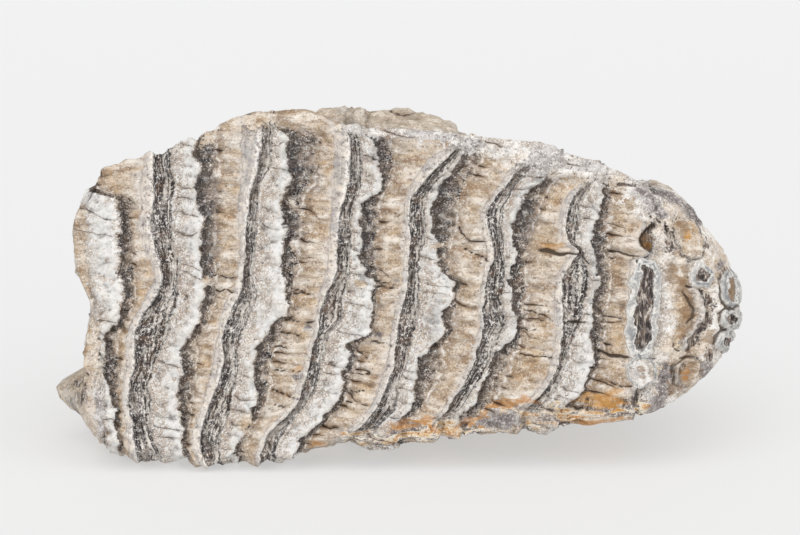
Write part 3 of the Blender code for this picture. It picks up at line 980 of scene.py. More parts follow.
@dataclass
class Molar:
    """The molar's fine skin: its worn plates, rings, cracks and broken end, in one closed mesh."""

    sight: Sight = Sight()
    shape: CrownShape = CrownShape()
    fine: Fineness = field(default_factory=Fineness)
    stack: PlateStack = PlateStack()
    draping: Draping = Draping()
    grain: Grain = Grain(7)

    # Height of the worn surface through one plate: (running count, mm below or above the crests).
    wear: Points = ((0, -0.9), (0.1, -1.4), (0.5, -1.6), (0.9, -1.5), (1.0, -1.3), (1.15, -1.0),
                    (1.5, -0.6), (1.85, -0.15), (2.0, 0.0), (2.4, 0.2), (2.8, 0.25), (3.0, -0.3),
                    (3.15, -0.9), (3.5, -1.0), (3.85, -0.7), (4.0, -0.4), (4.2, 0.0), (4.6, 0.2),
                    (4.9, 0.1), (5.0, -0.9))
    # A tissue's relief starts and ends softly, over this share of its stretch.
    soft: float = 0.2
    pit_level: float = 0.3

    # The plates show this much on the sides, which sink by so many mm, and calm down at the unworn end.
    side_wear: float = 0.55
    side_sink: float = 0.6
    nose_calm: float = 0.6
    nose_calms: Pair = (0.2, 0.4)

    # How far behind the face the sides start and are full.
    side_starts: float = 1.5
    side_full: float = 12.0

    # How the lines between tissues wander, as (mm, kind), and the steps of a ledge's broken edge.
    edge_wander: tuple[tuple[float, Unevenness], ...] = (
        (0.9, Unevenness((5.5, 5.5, 4.5))), (0.5, Unevenness((2.2, 2.2, 1.6), 2, (0.0, 0.0, 40.0))),
        (0.5, Unevenness((0.9, 1.0, 0.8), 2, (0.0, 0.0, 80.0))))
    ledge_edge: Unevenness = Unevenness((7.0, 3.2, 3.2), 1, (0.0, 7.0, 0.0))
    ledge_steps: float = 2.4
    ledge_step: float = 0.6

    # How unevenly the tissues meet through one plate: (running count, share of the full unevenness).
    fray: Points = ((0, 1), (0.8, 1), (1.5, 0.7), (2.0, 0.5), (3.2, 0.45), (4.0, 0.7), (4.5, 1), (5, 1))
    # The fibres of the finishes follow smoother lines.
    fibre_fray: float = 0.3

    # How far marks sway along and up, in mm, and how patchily they run on over the sides.
    sway: Unevenness = Unevenness((2.0, 2.0, 2.0), 2, (5.0, 0.0, 0.0))
    lift: Unevenness = Unevenness((2.0, 2.0, 2.0), 2, (0.0, 5.0, 0.0))
    broad_sway: Pair = (1.1, 0.9)
    ring_sway: Pair = (0.9, 0.9)
    crack_sway: Pair = (0.5, 0.5)
    patchiness: Unevenness = Unevenness((9.0, 9.0, 9.0), 3, (50.0, 0.0, 0.0))
    side_wander: float = 6.0

    # The marks of the face run on over the sides this far, on the body and at the unworn end.
    marks_reach: Pair = (24.0, 7.0)
    marks_fade: Pair = (0.5, 1.5)

    # Seams sink in, covers smooth what they lie on, and a ring clears a place for itself.
    seam_sinks: Pair = (0.2, 0.9)
    cover_calms: Pair = (0.35, 0.7)
    cover_calm: float = 0.6
    ring_clears: Pair = (-0.4, 1.0)
    ring_fades: Pair = (-0.2, 0.4)
    ring_fills: Pair = (0.2, -0.4)
    no_ring: float = -9.0
    blur_reach: int = 4

    def skin(self) -> Skin:
        """Lay out the smooth skin before wear.

        Returns:
            The skin, from its closed broken end to its tip.
        """
        shape, fine = self.shape, self.fine
        body = np.linspace(shape.broken_end, shape.nose_start, fine.body_sections)
        turn = np.linspace(0.0, 1.0, fine.nose_sections + 1)[1:] * math.pi / 2
        nose = shape.nose_start + (shape.nose_tip - shape.nose_start) * np.sin(turn)
        x = np.concatenate((np.full(fine.break_rings, shape.broken_end), body, nose))
        depth, height = shape.sections(x, fine)
        x = np.repeat(x[:, None], depth.shape[1], axis=1)
        rings = fine.break_rings
        ring = np.cos(np.linspace(math.pi / 2, 0.0, rings, endpoint=False))[:, None]
        middle = depth[rings].mean(), height[rings].mean()
        depth[:rings] = middle[0] + (depth[:rings] - middle[0]) * ring
        height[:rings] = middle[1] + (height[:rings] - middle[1]) * ring
        x[:rings] -= shape.break_bulge * np.sqrt(1.0 - ring ** 2)
        depth[-1], height[-1] = depth[-1].mean(), height[-1].mean()
        bend = sum(bump.at(depth, height) for bump in (shape.slab, shape.notch, shape.spur))
        x = x - bend * ease(shape.broken_end + shape.break_reach, shape.broken_end, x)
        return Skin(x, depth, height)

    def running_count(self, skin: Skin, fray: Array | float) -> Array:
        """Read the plates' running count all over the skin.

        Args:
            skin: the smooth skin.
            fray: how unevenly the tissues meet, from 0 for smooth lines.

        Returns:
            The count. On the face it is read straight from the chart. The plates run on from the
            two rims over the sides, and meet half-way down the root side.
        """
        clean, up = self.sight.chart(skin)
        shift = sum(mm * kind.at(self.grain, skin) for mm, kind in self.edge_wander) * fray
        steps = np.round(self.ledge_steps * self.ledge_edge.at(self.grain, skin))
        ragged = self.ledge_step * steps * fray

        around = skin.x.shape[1]
        upper, lower = self.fine.span(Region.UPPER_RIM), self.fine.span(Region.LOWER_RIM)
        root = self.fine.span(Region.ROOT_SIDE)

        def run_on(column: int) -> Array:
            """Carry the plates on from one column of the skin."""
            along, level = (np.repeat(value[:, column, None], around, axis=1) for value in (clean, up))
            return self.stack.count(along + shift, level, ragged)

        way = np.zeros(around)
        way[root] = ease(0.0, 1.0, np.linspace(0.0, 1.0, root.stop - root.start))
        way[root.stop:] = 1.0
        side = run_on(upper.stop - 1) * (1 - way) + run_on(lower.start) * way
        face = self.stack.count(clean + shift, up, ragged)
        front, back = upper.stop, lower.start
        return np.concatenate((face[:, :front], side[:, front:back], face[:, back:]), axis=1)

    def outward(self, points: Array) -> Array:
        """Find the skin's unit normals.

        Args:
            points: the skin, with x, depth and height last.

        Returns:
            The normals, pointing out.
        """
        around = np.roll(points, -1, axis=1) - np.roll(points, 1, axis=1)
        down = np.gradient(points, axis=0)
        normal = np.cross(down, around)
        size = np.linalg.norm(normal, axis=-1, keepdims=True)
        return normal / np.maximum(size, TINY)

    def within(self, stretch: Array, tissue: Tissue) -> Array:
        """1 in the middle of a tissue and 0 outside it."""
        start, end = float(tissue.value), tissue.value + 1.0
        return ease(start, start + self.soft, stretch) * ease(end, end - self.soft, stretch)

    def worn_height(self, skin: Skin, stretch: Array, side: Array) -> Array:
        """Work out how far the worn surface stands above or below the smooth skin.

        Args:
            skin: the smooth skin.
            stretch: which tissue the place is in, and where in it.
            side: 0 on the chewing face, 1 on the sides.

        Returns:
            The height in mm.
        """
        across = replace(skin, x=stretch)
        laid = {kind: kind.value.at(self.grain, across if kind is Relief.LINES else skin)
                for kind in Relief}
        laid[Relief.PITS] = np.minimum(laid[Relief.PITS] + self.pit_level, 0.0)
        worn = smooth_curve(self.wear, stretch)
        for tissue, kinds in TISSUE_RELIEF.items():
            relief = sum(strength * laid[kind] for kind, strength in kinds.items())
            worn = worn + self.within(stretch, tissue) * relief
        unworn = self.shape.nose_share(skin.x)
        relief = sum(strength * laid[kind] for kind, strength in SIDE_RELIEF.items())
        relief = relief * (1 - self.nose_calm * unworn) - self.side_sink
        worn = worn * (1 - self.nose_calm * ease(*self.nose_calms, unworn))
        return worn * (1 - side * (1 - self.side_wear)) + side * relief

    def blurred(self, values: Array) -> Array:
        """Take the running mean over the neighbouring points.

        Args:
            values: one for each point of the skin.

        Returns:
            Their means.
        """
        reach = self.blur_reach
        span = range(-reach, reach + 1)
        rows = sum(np.roll(values, step, axis=1) for step in span) / len(span)
        padded = np.pad(rows, ((reach, reach), (0, 0)), mode="edge")
        return sum(padded[reach + step:reach + step + len(values)] for step in span) / len(span)

    def charted(self, skin: Skin, behind: Array, side: Array) -> Chart:
        """Find where the marks are drawn.

        Args:
            skin: the smooth skin.
            behind: how far behind the face each point is.
            side: 0 on the chewing face, 1 on the sides.

        Returns:
            The chart, with every kind of mark swayed.
        """
        along, up = self.sight.chart(skin)
        sway, lift = self.sway.at(self.grain, skin), self.lift.at(self.grain, skin)
        broad, rings, cracks = ((along + mm[0] * sway, up + mm[1] * lift)
                                for mm in (self.broad_sway, self.ring_sway, self.crack_sway))
        patchy = self.patchiness.at(self.grain, skin)
        wander = self.side_wander * side * patchy
        body, tip = self.marks_reach
        reach = body + (tip - body) * self.shape.nose_share(skin.x)
        seen = 1 - ease(*self.marks_fade, behind / reach + patchy)
        return Chart((broad[0] + wander, broad[1] + wander), rings, cracks, seen)

    def draw_marks(self, surface: Surface, chart: Chart) -> None:
        """Draw the patches and seams, and sink the seams in.

        Args:
            surface: the surface to change.
            chart: where its points are on the chart.
        """
        for patch in PATCHES:
            surface.mark(patch.mark, patch.share(*chart.broad) * chart.seen)
        for seam in SEAMS:
            share = seam.share(*(chart.cracks if seam.mark is Mark.CRACK else chart.broad)) * chart.seen
            surface.worn = surface.worn - seam.depth * ease(*self.seam_sinks, share)
            surface.mark(seam.mark, share)
        for mark in (Mark.PALE, Mark.CEMENT):
            cover = ease(*self.cover_calms, surface.marks[mark])
            surface.worn = surface.worn * (1 - self.cover_calm * cover)

    def set_rings(self, surface: Surface, chart: Chart) -> Array:
        """Set the rings into the surface, and mark what stands in the middle of them.

        Args:
            surface: the surface to change.
            chart: where its points are on the chart.

        Returns:
            The running count into the rings that show their enamel.
        """
        rings = np.full_like(surface.worn, self.no_ring)
        for ring in RINGS:
            outside = ring.beyond(*chart.rings)
            surface.worn = surface.worn * ease(*self.ring_clears, outside) + ring.relief(*chart.rings)
            for mark in Mark:
                surface.marks[mark] = surface.marks[mark] * ease(*self.ring_fades, outside)
            surface.mark(ring.core, ease(*self.ring_fills, outside) * chart.seen)
            surface.mark(Mark.CRACK, ring.groove(*chart.rings) * chart.seen)
            if not ring.coated:
                shown = np.where(chart.seen > 0.5, ring.count(*chart.rings), self.no_ring)
                rings = np.maximum(rings, shown)
        for spot in SPOTS:
            surface.mark(spot.mark, spot.share(*chart.rings) * chart.seen)
        return rings

    def build(self) -> bpy.types.Object:
        """Wear the plates, rings and cracks into the skin and make it one closed mesh.

        Returns:
            The tooth, in the frame's own place, with its marks as attributes.
        """
        skin = self.skin()
        fibre = self.running_count(skin, self.fibre_fray)
        count = self.running_count(skin, smooth_curve(self.fray, np.mod(fibre, STRETCHES)))
        stretch, plate = np.mod(count, STRETCHES), np.floor(count / STRETCHES)
        behind = skin.depth - self.shape.setback(skin.x)
        side = ease(self.side_starts, self.side_full, behind)

        blocks = self.draping.count(self.grain, skin, plate)
        ledge = self.within(stretch, Tissue.LEDGE)
        split = self.draping.split(self.grain, blocks, plate, stretch, ledge) * (count < self.stack.unworn)
        worn = self.worn_height(skin, stretch, side) - self.draping.fall(blocks, split)
        surface = Surface(worn, {mark: np.zeros_like(worn) for mark in Mark})
        chart = self.charted(skin, behind, side)
        self.draw_marks(surface, chart)
        rings = self.set_rings(surface, chart)
        hollow = self.blurred(surface.worn) - surface.worn

        piece = self.mesh(self.placed(skin, surface.worn))
        values = {mark.value: surface.marks[mark] for mark in Mark}
        values |= {"count": count, "fibre": fibre, "rings": rings, "side": side, "hollow": hollow,
                   "blocks": blocks, "split": split}
        for name, value in values.items():
            self.paint(piece, name, value)
        return piece

    def placed(self, skin: Skin, worn: Array) -> Array:
        """Move the skin out by its worn height, lean it back and stand it on the floor.

        Args:
            skin: the smooth skin.
            worn: the worn height in mm.

        Returns:
            The points, in metres.
        """
        lean = self.sight.lean
        points = (skin.x, skin.depth + skin.height * math.sin(lean), skin.height * math.cos(lean))
        points = np.stack(points, axis=-1)
        lift = np.where(skin.height <= 0.0, np.minimum(worn, 0.0), worn)
        lift[0] = lift[-1] = 0.0
        points = points + self.outward(points) * lift[..., None]
        points[..., :2] -= self.shape.footprint_middle
        points[..., 2] = np.maximum(points[..., 2], 0.0)
        return points * MM

    def mesh(self, points: Array) -> bpy.types.Object:
        """Join the rings of points into one closed skin, with one point at each end.

        Args:
            points: the placed skin.

        Returns:
            The bare tooth.
        """
        sections, around = points.shape[:2]
        inner = points[1:-1].reshape(-1, 3)
        corners = np.vstack((points[0, :1], inner, points[-1, :1]))
        ring = np.arange(around)
        after = np.roll(ring, -1)
        quads = []
        for section in range(sections - 3):
            base = 1 + section * around
            below = base + around
            quads.append(np.stack((base + ring, below + ring, below + after, base + after), axis=1))
        faces = np.concatenate(quads).tolist()
        last = 1 + (sections - 3) * around
        faces += np.stack((np.zeros_like(ring), 1 + ring, 1 + after), axis=1).tolist()
        faces += np.stack((np.full_like(ring, len(corners) - 1), last + after, last + ring), axis=1).tolist()
        data = bpy.data.meshes.new("molar")
        data.from_pydata(corners.tolist(), [], faces)
        data.validate()
        data.shade_smooth()
        return stood("molar", data)

    def paint(self, piece: bpy.types.Object, name: str, value: Array) -> None:
        """Store one value for each point of the skin under a name."""
        flat = np.concatenate((value[0, :1], value[1:-1].ravel(), value[-1, :1])).astype(np.float32)
        piece.data.attributes.new(name, "FLOAT", "POINT").data.foreach_set("value", flat)

    def dress(self, piece: bpy.types.Object) -> None:
        """Give the tooth its one material."""
        piece.data.materials.append(FossilTooth(self.stack.unworn).build())


def linear(code: str) -> tuple[float, float, float, float]:
    """Turn an sRGB hex code into the linear colour that the shader works in."""
    parts = [int(code[place:place + 2], 16) / 255 for place in (1, 3, 5)]
    return (*[part / 12.92 if part <= 0.04045 else ((part + 0.055) / 1.055) ** 2.4 for part in parts], 1.0)


class Way(Enum):
    """What a pattern is laid along: the tooth's own lengths, or the fibres of its plates."""

    PLACE = "place"
    FIBRES = "fibres"


@dataclass(frozen=True)
class Pattern:
    """An uneven natural pattern. Its size is how far it carries along, back and up, in mm.

    Along the fibres, the first size is a share of a tissue's width instead.
    """

    size: Triple
    detail: float = 3.0
    roughness: float = 0.6
    warp: float = 0.0
    offset: float = 0.0
    way: Way = Way.PLACE


@dataclass
class Bench:
    """A material's node tree at work.

    It keeps what the skin holds by name, what patterns are laid along, the running count and grit
    that break up edges, and the patterns laid so far, so that each is laid only once.
    """

    tree: bpy.types.NodeTree
    held: dict[str, Any] = field(default_factory=dict)
    ways: dict[Way, Any] = field(default_factory=dict)
    stretch: Any = None
    grit: Any = None
    laid: dict[Pattern, Any] = field(default_factory=dict)

    def add(self, kind: str, inputs: dict[Any, Any] | Sequence[Any] = (), output: int | str = 0,
            stops: Sequence[tuple[float, str]] = (), **settings: Any) -> Any:
        """Add one node with its settings and links.

        Args:
            kind: the node's type, without its ShaderNode prefix.
            inputs: the sockets to link or the values to set, in order or by name or number.
            output: which output to hand back.
            stops: (position, hex colour) stops, for a colour ramp only.
            **settings: the node's own settings.

        Returns:
            The chosen output socket, or the node itself where it has none.
        """
        node = self.tree.nodes.new("ShaderNode" + kind)
        for name, value in settings.items():
            setattr(node, name, value)
        named = inputs if isinstance(inputs, dict) else dict(enumerate(inputs))
        for name, value in named.items():
            if isinstance(value, bpy.types.NodeSocket):
                self.tree.links.new(value, node.inputs[name])
            else:
                node.inputs[name].default_value = value
        for index, (position, code) in enumerate(stops):
            elements = node.color_ramp.elements
            element = elements[index] if index < 2 else elements.new(position)
            element.position, element.color = position, linear(code)
        return node.outputs[output] if node.outputs else node

    def pattern(self, pattern: Pattern) -> Any:
        """Lay a pattern out, or find it where it is laid already.

        Args:
            pattern: the pattern.

        Returns:
            Its socket, of about 0.2 to 0.8.
        """
        if pattern not in self.laid:
            scale, shift = tuple(1 / size for size in pattern.size), (pattern.offset,) * 3
            scaled = self.add("VectorMath", (self.ways[pattern.way], scale, shift), operation="MULTIPLY_ADD")
            self.laid[pattern] = self.add("TexNoise", {
                "Vector": scaled, "Scale": 1.0, "Detail": pattern.detail,
                "Roughness": pattern.roughness, "Distortion": pattern.warp})
        return self.laid[pattern]

    def swung(self, pattern: Pattern) -> Any:
        """A pattern that swings about 0."""
        return self.add("Math", (self.pattern(pattern), 0.5), operation="SUBTRACT")


@dataclass(frozen=True)
class Layer:
    """What a finish comes to at each place: its colour, its roughness and its fine height in mm."""

    colour: Any
    roughness: Any
    height: Any

    def tinted(self, bench: Bench, share: Any, colour: Any) -> Layer:
        """This layer with a colour laid into it, where share is 1."""
        mixed = bench.add("Mix", {0: share, 6: self.colour, 7: colour}, 2, data_type="RGBA")
        return Layer(mixed, self.roughness, self.height)

    def under(self, bench: Bench, share: Any, top: Layer) -> Layer:
        """Lay another layer over this one.

        Args:
            bench: the node tree at work.
            share: 1 where the other one covers this one.
            top: the other layer.

        Returns:
            Both as one layer.
        """
        roughness = bench.add("Mix", {0: share, 2: self.roughness, 3: top.roughness})
        height = bench.add("Mix", {0: share, 2: self.height, 3: top.height})
        return Layer(self.tinted(bench, share, top.colour).colour, roughness, height)


# The setting that softens both ends of a range.
SMOOTH = {"interpolation_type": "SMOOTHSTEP"}

# Dust and soil grains are well under 0.1 mm, so specks and grit are drawn coarse enough to show.
SPECK = Pattern((0.42, 0.42, 0.42), 2.0, 0.5)
GRIT = Pattern((0.8, 0.8, 0.7), 4.0, 0.7, 0.0, 3.0)
# Crumbs of weathered cement are 2 to 3 mm, and the stains of a fossil drift over about 10 mm.
MOTTLE = Pattern((2.4, 2.4, 2.1), 5.0, 0.68, 0.4, 7.0)
DRIFT = Pattern((10.0, 10.0, 8.0), 3.0, 0.5, 0.0, 11.0)
# Growth ribs of the cement are about 1 mm apart, its folds 2 to 3 mm, and the rim's strands 1.5 mm.
RIBS = Pattern((5.0, 1.6, 1.0), 4.0, 0.62, 0.2)
FOLDS = Pattern((7.0, 3.0, 2.6), 3.0, 0.5, 0.3, 5.0)
RIM_STRANDS = Pattern((7.0, 2.0, 1.5), 4.0, 0.62, 0.6, 13.0)
# Dentine's fibres are far too fine to show, so its strands and threads are drawn 0.3 to 1 mm apart.
STRANDS = Pattern((0.17, 9.0, 9.0), 3.0, 0.5, 0.0, 2.0, Way.FIBRES)
THREADS = Pattern((0.08, 5.0, 5.0), 2.0, 0.5, 0.0, 9.0, Way.FIBRES)
# The crumbled core of a ring breaks into lumps of 1 to 2.5 mm.
FINGER = Pattern((0.8, 2.4, 2.6), 4.0, 0.65, 0.4, 17.0)


@dataclass(frozen=True)
class Fleck:
    """Flecks of one colour, where a pattern passes from low to high.

    A run keeps them to part of a plate: it holds where they start, are full, fade and end.
    """

    colour: str
    pattern: Pattern
    low: float
    high: float
    strength: float = 1.0
    run: tuple[float, float, float, float] | None = None

    def share(self, bench: Bench) -> Any:
        """Find where the flecks lie.

        Args:
            bench: the node tree at work.

        Returns:
            A socket from 0 to their strength.
        """
        share = bench.add("MapRange", (bench.pattern(self.pattern), self.low, self.high, 0.0, self.strength),
                          **SMOOTH)
        if self.run is None:
            return share
        start, full, fade, end = self.run
        begun = bench.add("MapRange", (bench.stretch, start, full), **SMOOTH)
        ending = bench.add("MapRange", (bench.stretch, end, fade), **SMOOTH)
        share = bench.add("Math", (share, begun), operation="MULTIPLY")
        return bench.add("Math", (share, ending), operation="MULTIPLY")


@dataclass(frozen=True)
class Crease:
    """Fine lines of one colour, where a pattern passes through a level.

    The core is the share of a line's width that has its full colour.
    """

    colour: str
    pattern: Pattern
    level: float
    width: float
    strength: float = 1.0
    core: float = 0.2

    def share(self, bench: Bench) -> Any:
        """Find where the lines lie.

        Args:
            bench: the node tree at work.

        Returns:
            A socket from 0 to their strength.
        """
        off = bench.add("Math", (bench.pattern(self.pattern), self.level), operation="SUBTRACT")
        off = bench.add("Math", (off,), operation="ABSOLUTE")
        limits = (self.width, self.core * self.width, 0.0, self.strength)
        return bench.add("MapRange", (off, *limits), **SMOOTH)


@dataclass(frozen=True)
class Finish:
    """One tissue's finish: tones through a pattern, flecks on top, its sheen and its fine relief."""

    pattern: Pattern
    tones: tuple[tuple[float, str], ...]
    flecks: tuple[Fleck | Crease, ...]
    roughness: float
    fine_mm: float

    def lay(self, bench: Bench) -> Layer:
        """Lay the finish out.

        Args:
            bench: the node tree at work.

        Returns:
            The finish as a layer.
        """
        grain = bench.pattern(self.pattern)
        height = bench.add("Math", (grain, bench.pattern(GRIT)), operation="ADD")
        height = bench.add("Math", (height, self.fine_mm), operation="MULTIPLY")
        layer = Layer(bench.add("ValToRGB", (grain,), stops=self.tones), self.roughness, height)
        for fleck in self.flecks:
            layer = layer.tinted(bench, fleck.share(bench), linear(fleck.colour))
        return layer


# Levels of a fleck that its pattern doesn't limit, only its run.
EVERYWHERE = (0.0, 0.01)

# Cementum: the bone-like coat between the plates, dull and ribbed, brown where it soaked up iron.
# Where a wall rises from its valley it is darker brown, which is painted shade.
CEMENT = Finish(FOLDS, ((0.34, "#A68A70"), (0.44, "#C8B298"), (0.54, "#DCCCBA"), (0.66, "#F1E8DC")),
                (Fleck("#D3AE7D", DRIFT, 0.5, 0.66, 0.35), Fleck("#967B61", RIBS, 0.47, 0.36, 0.7),
                 Fleck("#F6EFE6", MOTTLE, 0.52, 0.66, 0.6), Crease("#6A5541", RIBS, 0.44, 0.013, 0.8),
                 Crease("#8D7862", MOTTLE, 0.5, 0.01, 0.6),
                 # Painted shade at the foot of the wall, next to the valley.
                 Fleck("#83694F", FOLDS, *EVERYWHERE, 0.5, (0.9, 1.04, 1.1, 1.4)),
                 Fleck("#EFE9E2", MOTTLE, 0.47, 0.54, 0.85, (0.8, 0.9, 1.04, 1.1)),
                 Fleck("#D5CCC5", MOTTLE, 0.4, 0.56, 0.7, (1.7, 1.98, 2.1, 2.2)),
                 Fleck("#64503E", GRIT, 0.42, 0.34, 0.75), Fleck("#F6EFE6", SPECK, 0.58, 0.66, 0.6)),
                0.75, 0.55)

# Enamel: the hard ridge of each plate. It is the only tissue with a soft shine.
ENAMEL = Finish(MOTTLE, ((0.34, "#A1968F"), (0.48, "#C8BFB7"), (0.62, "#E6DFD7")),
                (Fleck("#A8A6A7", DRIFT, 0.5, 0.62, 0.45), Fleck("#CDBBA5", MOTTLE, 0.51, 0.57, 0.5),
                 Crease("#6A605E", MOTTLE, 0.48, 0.014, 0.55),
                 Fleck("#8A8380", STRANDS, 0.46, 0.4, 0.4), Fleck("#5F5656", GRIT, 0.44, 0.37, 0.75),
                 Fleck("#FAF6F1", GRIT, 0.43, 0.53, 0.75, (2.65, 2.84, 2.94, 3.0))),
                0.45, 0.2)

# Dentine: the worn trough inside a plate. Minerals stained it nearly black, with pale fibre lines.
DENTINE = Finish(STRANDS, ((0.43, "#261F20"), (0.5, "#4B4141"), (0.55, "#85776D"), (0.6, "#DDD3C8")),
                 (Fleck("#7A5E49", MOTTLE, 0.51, 0.59, 0.7), Fleck("#6E543F", DRIFT, 0.48, 0.4, 0.6),
                  Fleck("#CDC2B6", DRIFT, 0.54, 0.62, 0.5), Fleck("#282021", FOLDS, 0.52, 0.45, 0.75),
                  Fleck("#DDD5CB", STRANDS, 0.48, 0.53, 0.85, (3.3, 3.7, 4.1, 4.2)),
                  Fleck("#2A2526", STRANDS, *EVERYWHERE, 0.75, (2.9, 3.0, 3.06, 3.2)),
                  Crease("#FBF7F2", THREADS, 0.53, 0.024, 0.95), Crease("#1D1718", THREADS, 0.46, 0.03, 0.9),
                  Fleck("#F3EDE6", GRIT, 0.56, 0.61, 0.85), Fleck("#211A1B", GRIT, 0.45, 0.4, 0.85)),
                 0.6, 0.5)

# Chalk: dentine that weathered to a soft white crust, with fine grey cracks.
# Its raised right margin is whiter still: its own white, with a painted highlight on it.
CHALK = Finish(MOTTLE, ((0.31, "#AC9B8B"), (0.41, "#D9CDC0"), (0.5, "#EFE9E1"), (0.62, "#FDFBF8")),
               (Fleck("#A98D75", STRANDS, 0.46, 0.54, 0.7, (3.9, 4.05, 4.2, 4.6)),
                Fleck("#D6C2AC", DRIFT, 0.49, 0.6, 0.5), Fleck("#C0AE9D", FOLDS, 0.48, 0.41, 0.6),
                Crease("#75675E", MOTTLE, 0.45, 0.011, 0.85), Crease("#8F8177", GRIT, 0.46, 0.011, 0.55),
                Fleck("#6E6059", GRIT, 0.4, 0.35, 0.9), Fleck("#C9BCAF", SPECK, 0.43, 0.37, 0.4),
                Fleck("#FFFEFD", SPECK, 0.52, 0.58, 0.85),
                # Painted highlight on the raised right margin, over the chalk's own white.
                Fleck("#FFFEFC", MOTTLE, 0.38, 0.46, 0.8, (4.5, 4.75, 4.94, 5.0))),
               0.85, 0.8)

# Rubble: crumbled cement in the valleys, purple grey with pale grains.
# Where a valley starts under the ledge before it, a painted shadow darkens it.
RUBBLE = Finish(MOTTLE, ((0.4, "#2B2324"), (0.47, "#554947"), (0.52, "#8A7B71"), (0.56, "#CDBFB1"),
                         (0.62, "#F3ECE4")),
                (Fleck("#8F735A", FOLDS, 0.5, 0.57, 0.7), Fleck("#C7B29B", DRIFT, 0.51, 0.58, 0.6),
                 Fleck("#251E1F", FOLDS, 0.47, 0.41, 0.7), Crease("#E9E2DA", MOTTLE, 0.455, 0.014, 0.8),
                 Crease("#231D1E", GRIT, 0.5, 0.02, 0.6), Fleck("#B9ADA3", GRIT, 0.54, 0.6, 0.7),
                 Fleck("#FAF7F2", SPECK, 0.57, 0.61, 0.8), Fleck("#211A1B", SPECK, 0.42, 0.38, 0.7),
                 Fleck("#C2AE99", MOTTLE, 0.43, 0.54, 0.75, (0.6, 0.88, 1.0, 1.01)),
                 # Painted shadow at the foot of the ledge before the valley.
                 Fleck("#2B2425", GRIT, 0.62, 0.5, 0.75, (0.0, 0.02, 0.2, 0.6))),
                0.85, 0.6)

# Pale cement: the unworn end and the rims, mottled cream and grey.
PALE = Finish(MOTTLE, ((0.33, "#8D8481"), (0.41, "#C4BCB5"), (0.5, "#E4DDD5"), (0.66, "#F9F5F0")),
              (Fleck("#D0BAA0", DRIFT, 0.49, 0.6, 0.6), Fleck("#A19A9B", DRIFT, 0.47, 0.4, 0.45),
               Crease("#6A6060", MOTTLE, 0.47, 0.012, 0.85), Crease("#5A5051", GRIT, 0.45, 0.012, 0.7),
               Fleck("#4A4243", GRIT, 0.42, 0.37, 0.9), Fleck("#FCFAF7", SPECK, 0.56, 0.62, 0.7)),
              0.78, 0.45)

# Cream cement: the unworn end about the rings, smooth and creamy, with brown cracks.
CREAM = Finish(MOTTLE, ((0.33, "#AF9C88"), (0.42, "#D9CDBF"), (0.51, "#F0E9E1"), (0.64, "#FDFBF8")),
               (Fleck("#CFB492", DRIFT, 0.51, 0.61, 0.5), Crease("#715E4E", MOTTLE, 0.46, 0.013, 0.75),
                Crease("#8F7D6D", GRIT, 0.47, 0.011, 0.5),
                Fleck("#6E5C4E", GRIT, 0.38, 0.33, 0.7), Fleck("#FBF8F3", SPECK, 0.56, 0.64, 0.6)),
               0.75, 0.45)

# Rim cement: a torn edge of strands that took up iron and manganese, cream to rust and grey.
RIM = Finish(RIM_STRANDS, ((0.36, "#5F5351"), (0.43, "#AE9F93"), (0.5, "#EFE6DA"), (0.56, "#DFC296"),
                           (0.63, "#BE8342")),
             (Fleck("#8E8280", DRIFT, 0.54, 0.66, 0.45), Crease("#4F3F35", RIM_STRANDS, 0.46, 0.022, 0.85),
              Fleck("#54484A", GRIT, 0.42, 0.35, 0.8), Fleck("#F7F2EA", SPECK, 0.57, 0.65, 0.7)),
             0.8, 0.5)

# Root side: spongy cement that lay in the soil, browner and rougher.
ROOT = Finish(MOTTLE, ((0.32, "#8B7964"), (0.44, "#BFAD96"), (0.55, "#E0D1BE"), (0.7, "#F2E8DC")),
              (Fleck("#A69A8D", DRIFT, 0.5, 0.64, 0.55), Crease("#6C5B46", MOTTLE, 0.5, 0.014, 0.7),
               Fleck("#5C4E41", GRIT, 0.42, 0.35, 0.75), Fleck("#F1E9DE", SPECK, 0.6, 0.68, 0.6)),
              0.88, 0.6)

# Dark mineral crust in cracks, grooves and ring cores.
CRUST = Finish(FINGER, ((0.42, "#292223"), (0.5, "#4B4141"), (0.56, "#94867B"), (0.62, "#DDD4CA")),
               (Crease("#D6CEC5", THREADS, 0.52, 0.02, 0.8), Fleck("#7B6350", MOTTLE, 0.52, 0.62, 0.6)),
               0.7, 0.4)

# Ring enamel: the wall of a finger's worn tip, blue grey and smooth between two pale lips.
RING = Finish(MOTTLE, ((0.34, "#9F9D9C"), (0.48, "#BDBBB8"), (0.62, "#D8D5D0")),
              (Fleck("#EDE9E3", GRIT, 0.42, 0.52, 0.75, (-0.1, 0.0, 0.1, 0.3)),
               Fleck("#72777C", MOTTLE, 0.59, 0.48, 0.85, (0.3, 0.5, 0.72, 0.88)),
               Fleck("#EDE9E3", GRIT, 0.42, 0.52, 0.8, (0.75, 0.88, 0.96, 1.05)),
               Fleck("#7B7371", GRIT, 0.42, 0.37, 0.6), Crease("#7C7472", MOTTLE, 0.5, 0.01, 0.5)), 0.35, 0.2)

# Slate: cement stained by manganese, purple grey.
SLATE = Finish(MOTTLE, ((0.36, "#544D4C"), (0.5, "#7C7472"), (0.64, "#ADA5A1")),
               (Fleck("#E2DCD6", GRIT, 0.55, 0.62, 0.8), Fleck("#443D3E", GRIT, 0.43, 0.37, 0.7)), 0.75, 0.4)


@dataclass(frozen=True)
class Stain:
    """A colour that soaked into the tissue under it. It lets the tissue's own tones through."""

    colour: str
    strength: float


